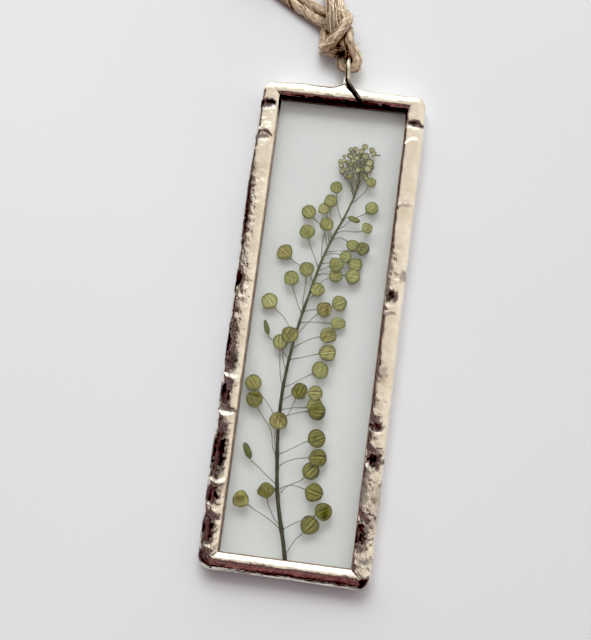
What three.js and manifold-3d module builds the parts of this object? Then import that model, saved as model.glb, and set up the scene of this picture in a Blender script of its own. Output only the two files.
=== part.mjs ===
// Pressed flower glass ornament: a pressed peppergrass sprig between two small panes of clear glass,
// edged with copper foil and a hand-run bead of solder, with a wire loop at the top and a twine loop to hang it by.
// Millimetres. The ornament lies on its back: +Z is the front of the glass, +Y the end with the wire loop.
// Positions below are measured from the middle of the glass (X, Y) and from the surface it lies on (Z).
import * as THREE from 'three';
import { mergeVertices } from 'three/addons/utils/BufferGeometryUtils.js';
import Module from 'manifold-3d';

const wasm = await Module();
wasm.setup();

// Glass: two slide-sized panes with a thin gap for the sprig
const GLASS_W = 24.4;
const GLASS_H = 76.2;
const GLASS_T = 1.1;
const GLASS_CORNER_R = 1.0;
const PANE_GAP = 0.8;

// Copper foil, folded round the edge of both panes
const FOIL_CLEARANCE = 0.02;
const FOIL_T = 0.08;
const FOIL_OVERLAP = 2.15;

// Solder border: how far it reaches over the glass and outside it, and how high the bead stands
const SOLDER_OVERLAP = 2.05;
const SOLDER_BULGE = 0.6;
const SOLDER_CORNER_GROWTH = 1.5;
const BACK_BEAD = 0.55;
const FRONT_BEAD = 0.55;
const LAND_INNER = 1.3;
const LAND_OUTER = 0.5;
const LONG_SIDE_STEPS = 28;
const SHORT_SIDE_STEPS = 8;
const CORNER_STEPS = 4;
const GLASS_CORNER_STEPS = 2;

// Wire loop
const WIRE_D = 0.8;
const WIRE_CLEARANCE = 0.05;
const WIRE_SIDES = 8;
const WIRE_STEPS = 22;

// Twine
const TWINE_D = 1.6;
const TWINE_SIDES = 8;
const COIL_CENTRE = [-14.0, 66.3];
const COIL_OUTER_R = 10.45;
const COIL_RING_INNER_R = 7.1;
const COIL_RING_TOP = 3.3;
const COIL_MIDDLE_TOP = 2.6;
const COIL_EDGE_R = 0.8;

// Levels above the surface
const BACK_PANE_Z = BACK_BEAD;
const GAP_Z = BACK_PANE_Z + GLASS_T;
const FRONT_PANE_Z = GAP_Z + PANE_GAP;
const STACK_TOP_Z = FRONT_PANE_Z + GLASS_T;
const CROWN_Z = STACK_TOP_Z + FRONT_BEAD;

// The sprig lies in three layers between the panes
const LAYER_Z = { back: GAP_Z + 0.14, mid: GAP_Z + 0.4, front: GAP_Z + 0.66 };
const POD_HALF_T = 0.12;
const STALK_HALF_W = 0.1;
const STALK_HALF_T = 0.06;
const STALK_GAP = 0.03;
const STEM_Z = GAP_Z + 0.25;
const STEM_THICKNESS_RATIO = 0.72;
const STEM_STEPS = 18;

// Colours, as sRGB hex, with roughness and metalness
const GLASS = { color: 0xe8efee, roughness: 0.04, metalness: 0, transparent: true, opacity: 0.25 };
const COPPER = { color: 0x6b4030, roughness: 0.45, metalness: 0.9 };
const SOLDER = { color: 0xb9b2a8, roughness: 0.22, metalness: 1 };
const TINNED_WIRE = { color: 0xbdb6ac, roughness: 0.2, metalness: 1 };
const STEM_GREEN = { color: 0x4a4c34, roughness: 0.85, metalness: 0 };
const POD_GREEN = { color: 0x8f9154, roughness: 0.8, metalness: 0 };
const BUD_GREEN = { color: 0x86855a, roughness: 0.85, metalness: 0 };
const JUTE = { color: 0xa88d6e, roughness: 0.95, metalness: 0 };

// Middle line of the main stem, from the cut end under the bottom bar up to the head
const STEM_LINE = [
  [0.12, -36.6], [-0.45, -34], [-1.55, -30], [-2.5, -26], [-3.05, -22], [-3.5, -18], [-3.72, -14],
  [-3.7, -10], [-3.4, -6], [-2.9, -2], [-2.2, 2], [-1.32, 6], [-0.4, 10], [0.85, 14], [2.45, 18], [3.42, 20.9],
];
// Width of the stem at heights up the sprig
const STEM_WIDTHS = [[-36.6, 0.66], [-20, 0.58], [-8, 0.5], [4, 0.42], [16, 0.36], [27, 0.26]];
// Middle line of the top of the stem, which carries the buds
const HEAD_LINE = [[3.46, 21.05], [3.85, 23], [3.95, 24.6], [3.85, 26], [3.7, 27.2]];

// Seed pods on their stalks. at: middle of the pod; across: its width; from: the height where its stalk
// leaves the stem; via: the bends of the stalk; slimness: its width as a share of its length. A stalk lies in its
// pod's layer unless stalk says otherwise.
const LEFT_PODS = [
  { at: [0.55, 22.35], across: 1.85, from: 17.3, via: [[1.7, 17.95], [1.25, 18.9], [0.9, 20.2]] },
  { at: [-0.05, 20.15], across: 2.0, from: 14.2, via: [[0.55, 14.8], [0.42, 16.0], [0.35, 17.4], [0.15, 18.5]],
    layer: 'mid' },
  { at: [-0.95, 18.85], across: 1.75, from: 13.5, via: [[0.3, 14.3], [0.1, 15.8], [-0.2, 17.4]], layer: 'back' },
  { at: [-3.25, 18.05], across: 2.2, from: 12.8, via: [[0.0, 13.6], [-0.25, 14.9], [-1.1, 16.1], [-2.1, 16.9]],
    layer: 'back' },
  { at: [-0.2, 16.3], across: 2.15, from: 10.6, via: [[-0.45, 12.0], [-0.5, 13.8]] },
  { at: [-3.1, 14.75], across: 2.3, from: 9.4, via: [[-1.05, 10.1], [-1.6, 11.2], [-2.3, 12.5]] },
  { at: [-6.15, 11.15], across: 2.4, from: 6.9, via: [[-1.6, 7.7], [-2.3, 8.6], [-3.3, 9.2], [-4.6, 9.9]],
    layer: 'back' },
  { at: [-2.4, 8.75], across: 2.25, from: 2.5, via: [[-2.35, 3.6], [-2.3, 5.2], [-2.3, 7.0]] },
  { at: [-4.6, 7.1], across: 2.3, from: 1.9, via: [[-2.9, 2.7], [-3.4, 3.9], [-4.0, 5.2]] },
  { at: [-7.55, 3.15], across: 2.45, from: -2.2, via: [[-3.6, -1.2], [-4.1, -0.3], [-5.0, 0.9], [-6.2, 1.85]],
    layer: 'back' },
  { at: [-7.47, -1.0], across: 2.4, slimness: 0.32, from: -5.4,
    via: [[-3.95, -5.0], [-4.6, -4.3], [-5.6, -3.4], [-6.6, -2.7], [-6.95, -2.4]], layer: 'back' },
  { at: [-3.7, -1.8], across: 2.5, from: -7.4, via: [[-4.0, -6.4], [-4.4, -4.9], [-4.3, -3.6]] },
  { at: [-5.0, -3.05], across: 2.4, from: -9.8, via: [[-4.25, -8.6], [-4.65, -6.4], [-4.85, -4.8]], layer: 'mid' },
  { at: [-8.35, -9.85], across: 2.5, from: -15.7,
    via: [[-4.35, -14.8], [-5.0, -13.7], [-6.0, -12.5], [-6.9, -11.6]], layer: 'back' },
  { at: [-7.8, -12.4], across: 2.5, from: -20.9,
    via: [[-4.1, -19.2], [-4.4, -17.6], [-5.0, -16.3], [-6.0, -15.1], [-6.8, -14.1]] },
  { at: [-3.7, -15.25], across: 2.65, from: -19.6, via: [[-3.87, -18.7], [-3.95, -17.6]] },
  { at: [-7.82, -20.35], across: 2.5, slimness: 0.42, from: -24.9,
    via: [[-3.9, -24.1], [-5.2, -23.1], [-6.5, -22.1], [-7.1, -21.75]] },
  { at: [-4.2, -25.95], across: 2.4, from: -31.1, via: [[-2.4, -30.0], [-3.1, -28.9], [-3.7, -27.8]] },
  { at: [-7.8, -27.8], across: 2.5, from: -31.6, via: [[-2.5, -30.65], [-4.0, -29.8], [-5.5, -29.1]] },
];
const RIGHT_PODS = [
  { at: [5.95, 23.8], across: 1.5, from: 20.2, via: [[4.1, 20.9], [4.9, 21.9], [5.45, 22.9]] },
  { at: [6.5, 19.8], across: 2.0, from: 15.8, via: [[2.4, 16.3], [3.1, 17.1], [4.3, 18.0], [5.5, 18.75]],
    layer: 'back' },
  { at: [3.95, 17.55], across: 1.95, slimness: 0.45, from: 17.5, via: [[2.9, 17.85]] },
  { at: [6.15, 16.4], across: 1.65, from: 15.0, via: [[2.4, 15.5], [4.0, 15.55], [5.2, 15.75]] },
  { at: [4.2, 13.5], across: 1.9, from: 14.1, via: [[1.9, 14.45], [2.7, 14.35], [3.2, 14.1]], layer: 'back' },
  { at: [5.9, 13.05], across: 2.1, from: 11.9, via: [[1.6, 12.15], [2.9, 12.35], [4.4, 12.65]] },
  { at: [3.35, 11.5], across: 1.85, from: 11.4, via: [[1.0, 11.75], [1.8, 11.85], [2.3, 11.8]], layer: 'mid' },
  { at: [5.0, 10.5], across: 2.1, from: 10.0, via: [[0.6, 10.25], [2.0, 10.6], [3.6, 10.7]], layer: 'back' },
  { at: [2.1, 10.05], across: 2.2, from: 8.9, via: [[0.1, 9.1], [0.7, 9.45]] },
  { at: [4.85, 8.55], across: 2.3, from: 8.1, via: [[0.2, 8.45], [2.0, 8.5], [3.3, 8.6]], layer: 'mid',
    stalk: 'back' },
  { at: [2.2, 8.35], across: 2.1, from: 6.2, via: [[-0.5, 6.6], [0.2, 7.2], [0.9, 7.7]], layer: 'mid' },
  { at: [-0.3, 5.75], across: 2.15, from: 3.7, via: [[-1.15, 4.4]] },
  { at: [3.3, 4.1], across: 2.3, from: 2.1, via: [[-0.9, 2.55], [0.6, 2.85], [2.1, 3.4]], layer: 'back' },
  { at: [1.15, 2.8], across: 2.3, from: -1.7, via: [[-1.8, -0.5], [-1.0, 0.6], [-0.1, 1.7]] },
  { at: [3.5, 0.95], across: 2.3, slimness: 0.78, from: 0.3, via: [[-1.2, 0.6], [0.4, 0.75], [2.0, 0.8]],
    layer: 'back' },
  { at: [2.2, -1.15], across: 2.55, from: -3.8, via: [[-2.3, -3.3], [-1.2, -2.55], [0.0, -1.9]] },
  { at: [2.45, -3.9], across: 2.6, from: -5.6, via: [[-2.3, -5.35], [-0.8, -4.85], [0.8, -4.3]], layer: 'mid' },
  { at: [1.65, -6.7], across: 2.5, from: -10.0, via: [[-2.4, -9.4], [-1.0, -8.4], [0.2, -7.65]] },
  { at: [-1.05, -10.3], across: 2.45, from: -15.2, via: [[-2.65, -14.5], [-2.1, -13.4], [-1.75, -12.3]],
    stalk: 'mid' },
  { at: [1.35, -10.3], across: 2.25, from: -12.1, via: [[-2.8, -11.4], [-2.2, -10.95], [-0.8, -10.5]],
    layer: 'mid', stalk: 'back' },
  { at: [1.5, -12.2], across: 2.4, from: -13.5, via: [[-2.6, -13.15], [-1.2, -12.85], [-0.3, -12.75]],
    layer: 'back' },
  { at: [2.0, -13.1], across: 2.6, from: -14.8, via: [[-2.4, -14.2], [-0.9, -13.6], [0.1, -13.3]], stalk: 'back' },
  { at: [2.45, -17.2], across: 2.7, from: -20.4, via: [[-1.9, -19.7], [-0.4, -18.7], [0.8, -17.95]] },
  { at: [3.0, -20.1], across: 2.65, from: -22.3, via: [[-2.0, -21.5], [-0.6, -20.75], [1.1, -20.35]] },
  { at: [2.2, -22.2], across: 2.6, from: -26.5, via: [[-1.5, -25.4], [-0.6, -24.6], [0.4, -24.1], [1.05, -23.6]],
    layer: 'back' },
  { at: [3.1, -25.4], across: 2.7, from: -25.7, via: [[-1.6, -25.1], [-0.5, -24.7], [0.6, -24.8], [1.4, -25.0]] },
  { at: [4.9, -28.05], across: 2.65, from: -31.6, via: [[0.3, -30.6], [1.8, -29.7], [3.2, -29.05]] },
  { at: [3.05, -30.35], across: 2.75, from: -35.2, via: [[0.55, -34.0], [1.2, -32.7], [2.0, -31.85]],
    layer: 'mid' },
];

// Buds and young pods of the head. from: the height where the bud's stalk leaves the top of the stem
const HEAD_BUDS = [
  { at: [0.75, 26.8], across: 0.75, from: 21.5, layer: 'back' },
  { at: [1.2, 27.6], across: 0.55, from: 22.6, layer: 'mid' },
  { at: [1.1, 25.05], across: 0.7, from: 21.3, layer: 'front' },
  { at: [1.95, 25.6], across: 0.7, from: 22.0, layer: 'mid' },
  { at: [2.3, 24.35], across: 0.85, from: 21.8, layer: 'front' },
  { at: [1.95, 27.95], across: 0.75, from: 23.4, layer: 'back' },
  { at: [2.1, 28.75], across: 0.7, from: 24.2, layer: 'front' },
  { at: [2.8, 29.0], across: 0.75, from: 25.2, layer: 'mid' },
  { at: [2.7, 28.15], across: 0.9, from: 24.8, layer: 'back' },
  { at: [2.4, 26.3], across: 0.55, from: 23.0, layer: 'front' },
  { at: [3.0, 26.3], across: 0.6, from: 24.0, layer: 'mid' },
  { at: [2.75, 25.3], across: 0.6, from: 22.8, layer: 'back' },
  { at: [4.25, 29.5], across: 0.9, from: 26.6, layer: 'mid' },
  { at: [4.5, 27.9], across: 1.1, from: 25.6, layer: 'front' },
  { at: [3.7, 28.1], across: 0.8, from: 26.2, layer: 'back' },
  { at: [5.4, 29.2], across: 0.8, from: 25.4, layer: 'back' },
  { at: [4.3, 26.9], across: 0.9, from: 24.6, layer: 'back' },
  { at: [5.3, 27.0], across: 1.15, from: 24.3, layer: 'mid' },
  { at: [5.15, 25.85], across: 1.1, from: 23.2, layer: 'front' },
  { at: [4.75, 24.95], across: 0.95, from: 22.6, layer: 'back' },
];
const LOOSE_PETAL = { from: [6.1, 28.3], to: [6.95, 28.42], halfWidth: 0.15, halfThickness: 0.05 };

// Lumps and dents of the hand-run solder. at: place along the side; spread: half its length; rise: its height;
// out: how far it stands outward
const SOLDER_LUMPS = [
  { side: 'left', at: 31.5, spread: 2.2, rise: 0.06 },
  { side: 'left', at: 22, spread: 4, rise: -0.06 },
  { side: 'left', at: 5, spread: 4, rise: 0.05 },
  { side: 'left', at: -9.5, spread: 1.8, rise: 0.1 },
  { side: 'left', at: -13.5, spread: 1.6, rise: -0.12 },
  { side: 'left', at: -16.5, spread: 1.8, rise: 0.1 },
  { side: 'left', at: -26, spread: 2, rise: 0.1 },
  { side: 'right', at: 30.5, spread: 2.2, rise: 0.08 },
  { side: 'right', at: 20.8, spread: 1.8, rise: -0.08 },
  { side: 'right', at: 8, spread: 2, rise: -0.08 },
  { side: 'right', at: -5, spread: 4, rise: 0.08 },
  { side: 'right', at: -14.6, spread: 1.8, rise: -0.12 },
  { side: 'right', at: -30, spread: 3, rise: -0.08 },
  { side: 'top', at: -7, spread: 2.5, rise: 0.05 },
  { side: 'top', at: 0, spread: 1.3, rise: 0.02, out: 0.55 },
  { side: 'top', at: 4.2, spread: 1.6, rise: 0.12 },
  { side: 'bottom', at: -4, spread: 3, rise: 0.06 },
  { side: 'bottom', at: 7, spread: 2, rise: -0.05 },
];

// Route of the hanging wire: along the front of the top bar, up and round, and down to the bar's outer edge
const WIRE_ROUTE = [
  [2.55, 36.45, 4.14], [1.9, 37.3, 4.16], [1.2, 38.15, 4.16], [0.5, 39.0, 4.12], [0.2, 40.0, 4.12],
  [0.05, 41.4, 4.14], [-0.05, 42.7, 3.85], [-0.1, 43.65, 3.1], [-0.12, 43.95, 2.35], [-0.15, 43.65, 1.55],
  [-0.2, 42.6, 0.95], [-0.25, 41.2, 0.85], [-0.28, 39.9, 1.05], [-0.28, 38.45, 1.3],
];

// Routes of the twine: both sides start in the wire loop, and the knot ties them together
const KNOT_UNDER = [
  [0, 42.3, 2.35], [-1.35, 42.45, 2.4], [-2.0, 43.7, 2.6], [-1.95, 45.4, 2.7], [-2.4, 47.2, 2.6],
  [-3.5, 48.8, 2.2], [-4.9, 49.65, 1.6],
];
const KNOT_OVER = [
  [0, 42.3, 2.35], [1.25, 42.5, 2.4], [1.55, 43.9, 2.8], [0.75, 45.3, 3.2], [-0.5, 46.5, 3.3],
  [-0.7, 48.0, 2.9], [-1.4, 49.4, 1.9], [-2.9, 49.2, 0.95], [-4.0, 47.4, 0.85], [-4.5, 45.7, 1.1],
  [-4.2, 44.8, 2.2], [-3.4, 45.3, 3.6], [-2.4, 46.6, 4.4], [-1.4, 48.2, 4.5], [-0.95, 49.9, 3.9],
  [-2.0, 51.1, 3.0], [-3.9, 51.3, 2.1],
];
const KNOT_TAILS = [
  [[-1.6, 50.2, 2.4], [-0.9, 51.6, 2.0], [-0.7, 53.1, 1.4]],
  [[-2.6, 50.6, 1.8], [-2.3, 52.2, 1.4], [-2.6, 53.6, 0.9]],
];
const LOWER_SIDE = [[-5.6, 50.0, 1.35], [-7.0, 50.75, 1.0], [-8.8, 51.75, 0.85], [-11.0, 53.1, 0.84],
  [-13.2, 54.45, 0.84]];
const UPPER_SIDE = [[-4.9, 51.55, 1.7], [-6.2, 52.1, 1.25], [-8.0, 53.1, 0.95], [-9.5, 54.1, 0.84],
  [-11.0, 55.05, 0.84]];

const SIDES = ['right', 'top', 'left', 'bottom'];

function valueAt(table, place) {
  let [before] = table;
  for (const entry of table) {
    if (entry[0] >= place) {
      const span = entry[0] - before[0];
      return span > 0 ? before[1] + (entry[1] - before[1]) * (place - before[0]) / span : entry[1];
    }
    before = entry;
  }
  return before[1];
}

function piece(name, geometry, look) {
  const mesh = new THREE.Mesh(geometry, new THREE.MeshStandardMaterial(look));
  mesh.name = name;
  return mesh;
}

// Closed skin over rows of points: each row is one section. A ring's last row joins its first, and its sections
// run the other way round; any other skin has its ends closed by fans.
function skin(rows, ring = false) {
  const positions = rows.flat().flatMap((point) => [point.x, point.y, point.z]);
  const indices = [];
  const around = rows[0].length;
  const spans = ring ? rows.length : rows.length - 1;
  for (let row = 0; row < spans; row += 1) {
    const here = row * around;
    const next = ((row + 1) % rows.length) * around;
    for (let i = 0; i < around; i += 1) {
      const j = (i + 1) % around;
      if (ring) indices.push(here + i, next + j, here + j, here + i, next + i, next + j);
      else indices.push(here + i, here + j, next + j, here + i, next + j, next + i);
    }
  }
  if (!ring) {
    const last = (rows.length - 1) * around;
    for (let i = 1; i < around - 1; i += 1) {
      indices.push(0, i + 1, i, last, last + i, last + i + 1);
    }
  }
  const geometry = new THREE.BufferGeometry();
  geometry.setAttribute('position', new THREE.Float32BufferAttribute(positions, 3));
  geometry.setIndex(indices);
  return geometry;
}

function toSolid(geometry) {
  const bare = geometry.clone();
  bare.deleteAttribute('normal');
  bare.deleteAttribute('uv');
  const merged = mergeVertices(bare);
  return new wasm.Manifold(new wasm.Mesh({
    numProp: 3,
    vertProperties: new Float32Array(merged.attributes.position.array),
    triVerts: new Uint32Array(merged.index.array),
  }));
}

function fromSolid(solid) {
  const mesh = solid.getMesh();
  const geometry = new THREE.BufferGeometry();
  geometry.setAttribute('position', new THREE.BufferAttribute(new Float32Array(mesh.vertProperties), 3));
  geometry.setIndex(new THREE.BufferAttribute(new Uint32Array(mesh.triVerts), 1));
  return geometry;
}

function roundSection(radius, sides) {
  const shape = new THREE.Shape();
  for (let i = 0; i < sides; i += 1) {
    const angle = (i + 0.5) * 2 * Math.PI / sides;
    const x = radius * Math.cos(angle);
    const y = radius * Math.sin(angle);
    if (i === 0) shape.moveTo(x, y);
    else shape.lineTo(x, y);
  }
  return shape;
}

function tube(route, diameter, sides, steps) {
  const curve = new THREE.CatmullRomCurve3(route.map((point) => new THREE.Vector3(...point)), false, 'centripetal');
  return new THREE.ExtrudeGeometry(roundSection(diameter / 2, sides), { steps, extrudePath: curve });
}

// Glass pane with its corners taken off
function pane(bottom) {
  const halfW = GLASS_W / 2;
  const halfH = GLASS_H / 2;
  const r = GLASS_CORNER_R;
  const shape = new THREE.Shape();
  shape.moveTo(halfW, -halfH + r);
  shape.lineTo(halfW, halfH - r);
  shape.absarc(halfW - r, halfH - r, r, 0, Math.PI / 2);
  shape.lineTo(-halfW + r, halfH);
  shape.absarc(-halfW + r, halfH - r, r, Math.PI / 2, Math.PI);
  shape.lineTo(-halfW, -halfH + r);
  shape.absarc(-halfW + r, -halfH + r, r, Math.PI, 1.5 * Math.PI);
  shape.lineTo(halfW - r, -halfH);
  shape.absarc(halfW - r, -halfH + r, r, 1.5 * Math.PI, 2 * Math.PI);
  const geometry = new THREE.ExtrudeGeometry(shape, {
    depth: GLASS_T, bevelEnabled: false, curveSegments: GLASS_CORNER_STEPS,
  });
  return geometry.translate(0, 0, bottom);
}

// Stations round the border: each lies on a side, at a fraction of it, or in a corner, at an angle
function borderStations(longSteps, shortSteps) {
  const stations = [];
  SIDES.forEach((side, turn) => {
    const steps = side === 'left' || side === 'right' ? longSteps : shortSteps;
    for (let i = 0; i < steps; i += 1) {
      stations.push({ side, turn, fraction: i / steps, corner: 0 });
    }
    for (let i = 0; i < CORNER_STEPS; i += 1) {
      stations.push({ side, turn, fraction: 1, corner: i / CORNER_STEPS });
    }
  });
  return stations;
}

// Point of the border at a distance outside the edge of the glass, and its place along its side
function borderPoint(station, outside, growth) {
  const radius = Math.max(GLASS_CORNER_R + outside * (outside > 0 ? growth : 1), 0.15);
  const long = station.side === 'left' || station.side === 'right';
  const halfAlong = (long ? GLASS_H : GLASS_W) / 2 + outside;
  const halfAcross = (long ? GLASS_W : GLASS_H) / 2 + outside;
  const straight = halfAlong - radius;
  const angle = station.corner * Math.PI / 2;
  const along = -straight + 2 * straight * station.fraction + radius * Math.sin(angle);
  const across = halfAcross - radius + radius * Math.cos(angle);
  const heading = station.turn * Math.PI / 2;
  const x = across * Math.cos(heading) - along * Math.sin(heading);
  const y = across * Math.sin(heading) + along * Math.cos(heading);
  return { x, y, along: long ? y : x };
}

function lumpAt(side, along, key) {
  let height = 0;
  for (const lump of SOLDER_LUMPS) {
    if (lump.side === side && lump[key]) {
      height += lump[key] * Math.exp(-(((along - lump.at) / lump.spread) ** 2));
    }
  }
  return height;
}

// Copper foil: a thin channel folded round the edges of both panes
function foil() {
  const clear = FOIL_CLEARANCE;
  const outer = clear + FOIL_T;
  const section = [
    [-FOIL_OVERLAP, BACK_PANE_Z - outer], [outer, BACK_PANE_Z - outer],
    [outer, STACK_TOP_Z + outer], [-FOIL_OVERLAP, STACK_TOP_Z + outer],
    [-FOIL_OVERLAP, STACK_TOP_Z + clear], [clear, STACK_TOP_Z + clear],
    [clear, BACK_PANE_Z - clear], [-FOIL_OVERLAP, BACK_PANE_Z - clear],
  ];
  const rows = borderStations(1, 1).map((station) => section.map(([outside, z]) => {
    const { x, y } = borderPoint(station, outside, 1);
    return new THREE.Vector3(x, y, z);
  }));
  return skin(rows, true);
}

// Solder border: a rounded bead over the foil, flat underneath where it stands, with the wire sunk in it
function solder(wire) {
  const inner = 2 * FOIL_CLEARANCE + FOIL_T;
  const underside = BACK_PANE_Z - inner;
  const overside = STACK_TOP_Z + inner;
  const middle = (GAP_Z + FRONT_PANE_Z) / 2;
  const bulge = SOLDER_BULGE;
  const section = [
    { outside: -SOLDER_OVERLAP, z: underside },
    { outside: -SOLDER_OVERLAP + 0.3, z: 0.2 },
    { outside: -LAND_INNER, z: 0 },
    { outside: -LAND_OUTER, z: 0 },
    { outside: bulge - 0.25, z: 0.3 },
    { outside: bulge - 0.02, z: 0.95, side: 1 },
    { outside: bulge, z: middle, side: 1 },
    { outside: bulge - 0.02, z: CROWN_Z - 0.95, side: 1 },
    { outside: bulge - 0.28, z: CROWN_Z - 0.28, crown: 0.5, side: 0.5 },
    { outside: -0.4, z: CROWN_Z, crown: 1 },
    { outside: -1.2, z: CROWN_Z - 0.03, crown: 1 },
    { outside: -1.78, z: CROWN_Z - 0.22, crown: 0.4 },
    { outside: -SOLDER_OVERLAP, z: overside },
    { outside: inner, z: overside },
    { outside: inner, z: underside },
  ];
  const rows = borderStations(LONG_SIDE_STEPS, SHORT_SIDE_STEPS).map((station) => section.map((place) => {
    const growth = place.outside > inner ? SOLDER_CORNER_GROWTH : 1;
    const still = borderPoint(station, place.outside, growth);
    const onCorner = station.corner > 0 ? 0 : 1;
    const out = onCorner * (place.side ?? 0) * lumpAt(station.side, still.along, 'out');
    const rise = onCorner * (place.crown ?? 0) * lumpAt(station.side, still.along, 'rise');
    const { x, y } = borderPoint(station, place.outside + out, growth);
    return new THREE.Vector3(x, y, place.z + rise);
  }));
  return fromSolid(toSolid(skin(rows, true)).subtract(toSolid(wire)));
}

function lineOf(points, z) {
  return new THREE.CatmullRomCurve3(points.map(([x, y]) => new THREE.Vector3(x, y, z)), false, 'centripetal');
}

// Flat-sided stem: six points round each section
function stemSkin(points, steps) {
  const line = lineOf(points, STEM_Z);
  const rows = [];
  for (let i = 0; i <= steps; i += 1) {
    const centre = line.getPointAt(i / steps);
    const tangent = line.getTangentAt(i / steps);
    const across = new THREE.Vector3(tangent.y, -tangent.x, 0);
    const half = valueAt(STEM_WIDTHS, centre.y) / 2;
    const thick = half * STEM_THICKNESS_RATIO;
    const section = [[1, 0], [0.5, -1], [-0.5, -1], [-1, 0], [-0.5, 1], [0.5, 1]];
    rows.push(section.map(([side, up]) => centre.clone().addScaledVector(across, side * half)
      .add(new THREE.Vector3(0, 0, up * thick))));
  }
  return skin(rows);
}

function stemPlace(points, height) {
  const byHeight = points.map(([x, y]) => [y, x]);
  return valueAt(byHeight, height);
}

// One stalk with its pod, as one skin of diamond sections: a ridge along the middle, thin edges, a notched tip
function podSkin(pod, base, podShape) {
  const stalkZ = LAYER_Z[pod.stalk ?? pod.layer ?? 'front'];
  const podZ = LAYER_Z[pod.layer ?? 'front'];
  const radius = pod.across / 2;
  const centre = new THREE.Vector2(...pod.at);
  const bends = [base, ...(pod.via ?? [])].map(([x, y]) => new THREE.Vector2(x, y));
  const axis = centre.clone().sub(bends[bends.length - 1]).normalize();
  const rows = [];
  const addRow = (place, direction, half, thick, z, ridgeBack = 0) => {
    const side = new THREE.Vector2(direction.y, -direction.x);
    const ridge = place.clone().addScaledVector(direction, -ridgeBack);
    rows.push([
      new THREE.Vector3(place.x - side.x * half, place.y - side.y * half, z),
      new THREE.Vector3(ridge.x, ridge.y, z + thick),
      new THREE.Vector3(place.x + side.x * half, place.y + side.y * half, z),
      new THREE.Vector3(ridge.x, ridge.y, z - thick),
    ]);
  };
  bends.forEach((place, i) => {
    const ahead = bends[i + 1] ?? centre;
    const behind = bends[i - 1] ?? place;
    const direction = ahead.clone().sub(behind).normalize();
    addRow(place, direction, STALK_HALF_W, STALK_HALF_T, i === 0 ? STEM_Z : stalkZ);
  });
  podShape.forEach(([along, width, thickness, ridgeBack]) => {
    const place = centre.clone().addScaledVector(axis, along * radius);
    const half = Math.max(width * radius * (pod.slimness ?? 1), STALK_HALF_W);
    addRow(place, axis, half, thickness * POD_HALF_T, podZ, (ridgeBack ?? 0) * radius);
  });
  return skin(rows);
}

// Along the pod, its half width and its half thickness, as shares of its radius and of the full thickness
const POD_SHAPE = [[-0.98, 0.14, 0.6], [-0.65, 0.76, 0.9], [0, 1, 1], [0.65, 0.76, 0.9],
  [0.98, 0.26, 0.6, 0.16]];
const BUD_SHAPE = [[-0.9, 0.35, 0.7], [0, 1, 1], [0.95, 0.3, 0.6]];

function podNode(pod, side, name) {
  const reach = valueAt(STEM_WIDTHS, pod.from) / 2 + STALK_HALF_W + STALK_GAP;
  const base = [stemPlace(STEM_LINE, pod.from) + side * reach, pod.from];
  return piece(name, podSkin(pod, base, POD_SHAPE), POD_GREEN);
}

// Head: the top of the stem with its crowd of buds and young pods, grown together
function head() {
  let solid = toSolid(stemSkin(HEAD_LINE, 5));
  for (const bud of HEAD_BUDS) {
    const root = [stemPlace(HEAD_LINE, bud.from), bud.from];
    solid = solid.add(toSolid(podSkin(bud, root, BUD_SHAPE)));
  }
  return fromSolid(solid);
}

function loosePetal() {
  const from = new THREE.Vector3(...LOOSE_PETAL.from, LAYER_Z.mid);
  const to = new THREE.Vector3(...LOOSE_PETAL.to, LAYER_Z.mid);
  const rows = [0.25, 1, 0.3].map((width, i) => {
    const centre = from.clone().lerp(to, i / 2);
    const half = width * LOOSE_PETAL.halfWidth;
    const thick = LOOSE_PETAL.halfThickness;
    return [[0, half, 0], [0, 0, thick], [0, -half, 0], [0, 0, -thick]]
      .map((offset) => centre.clone().add(new THREE.Vector3(...offset)));
  });
  return skin(rows);
}

// Knot: both sides of the twine, tied once over each other, and the two cut ends
function knot() {
  let solid = toSolid(tube(KNOT_UNDER, TWINE_D, TWINE_SIDES, 12));
  solid = solid.add(toSolid(tube(KNOT_OVER, TWINE_D, TWINE_SIDES, 26)));
  for (const tail of KNOT_TAILS) {
    solid = solid.add(toSolid(tube(tail, TWINE_D * 0.8, TWINE_SIDES, 4)));
  }
  return fromSolid(solid);
}

// Outer shape of the wound twine: two turns of both sides, with the far end of the loop lying inside
function coil() {
  const r = COIL_EDGE_R;
  const profile = [
    [0, 0], [COIL_OUTER_R - r, 0], [COIL_OUTER_R, r], [COIL_OUTER_R, COIL_RING_TOP - r],
    [COIL_OUTER_R - r, COIL_RING_TOP], [COIL_RING_INNER_R + r, COIL_RING_TOP],
    [COIL_RING_INNER_R - r, COIL_MIDDLE_TOP], [0, COIL_MIDDLE_TOP],
  ].map(([x, y]) => new THREE.Vector2(x, y));
  const geometry = new THREE.LatheGeometry(profile, 24);
  return geometry.rotateX(Math.PI / 2).translate(COIL_CENTRE[0], COIL_CENTRE[1], 0);
}

const wire = tube(WIRE_ROUTE, WIRE_D, WIRE_SIDES, WIRE_STEPS);
const wireSocket = tube(WIRE_ROUTE, WIRE_D + 2 * WIRE_CLEARANCE, WIRE_SIDES, WIRE_STEPS);

const ornament = new THREE.Group();
ornament.add(
  piece('glass_back', pane(BACK_PANE_Z), GLASS),
  piece('glass_front', pane(FRONT_PANE_Z), GLASS),
  piece('copper_foil', foil(), COPPER),
  piece('solder_frame', solder(wireSocket), SOLDER),
  piece('wire_loop', wire, TINNED_WIRE),
  piece('stem', stemSkin(STEM_LINE, STEM_STEPS), STEM_GREEN),
  piece('flower_head', head(), BUD_GREEN),
  piece('loose_petal', loosePetal(), BUD_GREEN),
);
for (const [side, sideName, pods] of [[-1, 'left', LEFT_PODS], [1, 'right', RIGHT_PODS]]) {
  pods.forEach((pod, i) => {
    ornament.add(podNode(pod, side, `pod_${sideName}_${String(i + 1).padStart(2, '0')}`));
  });
}

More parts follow.
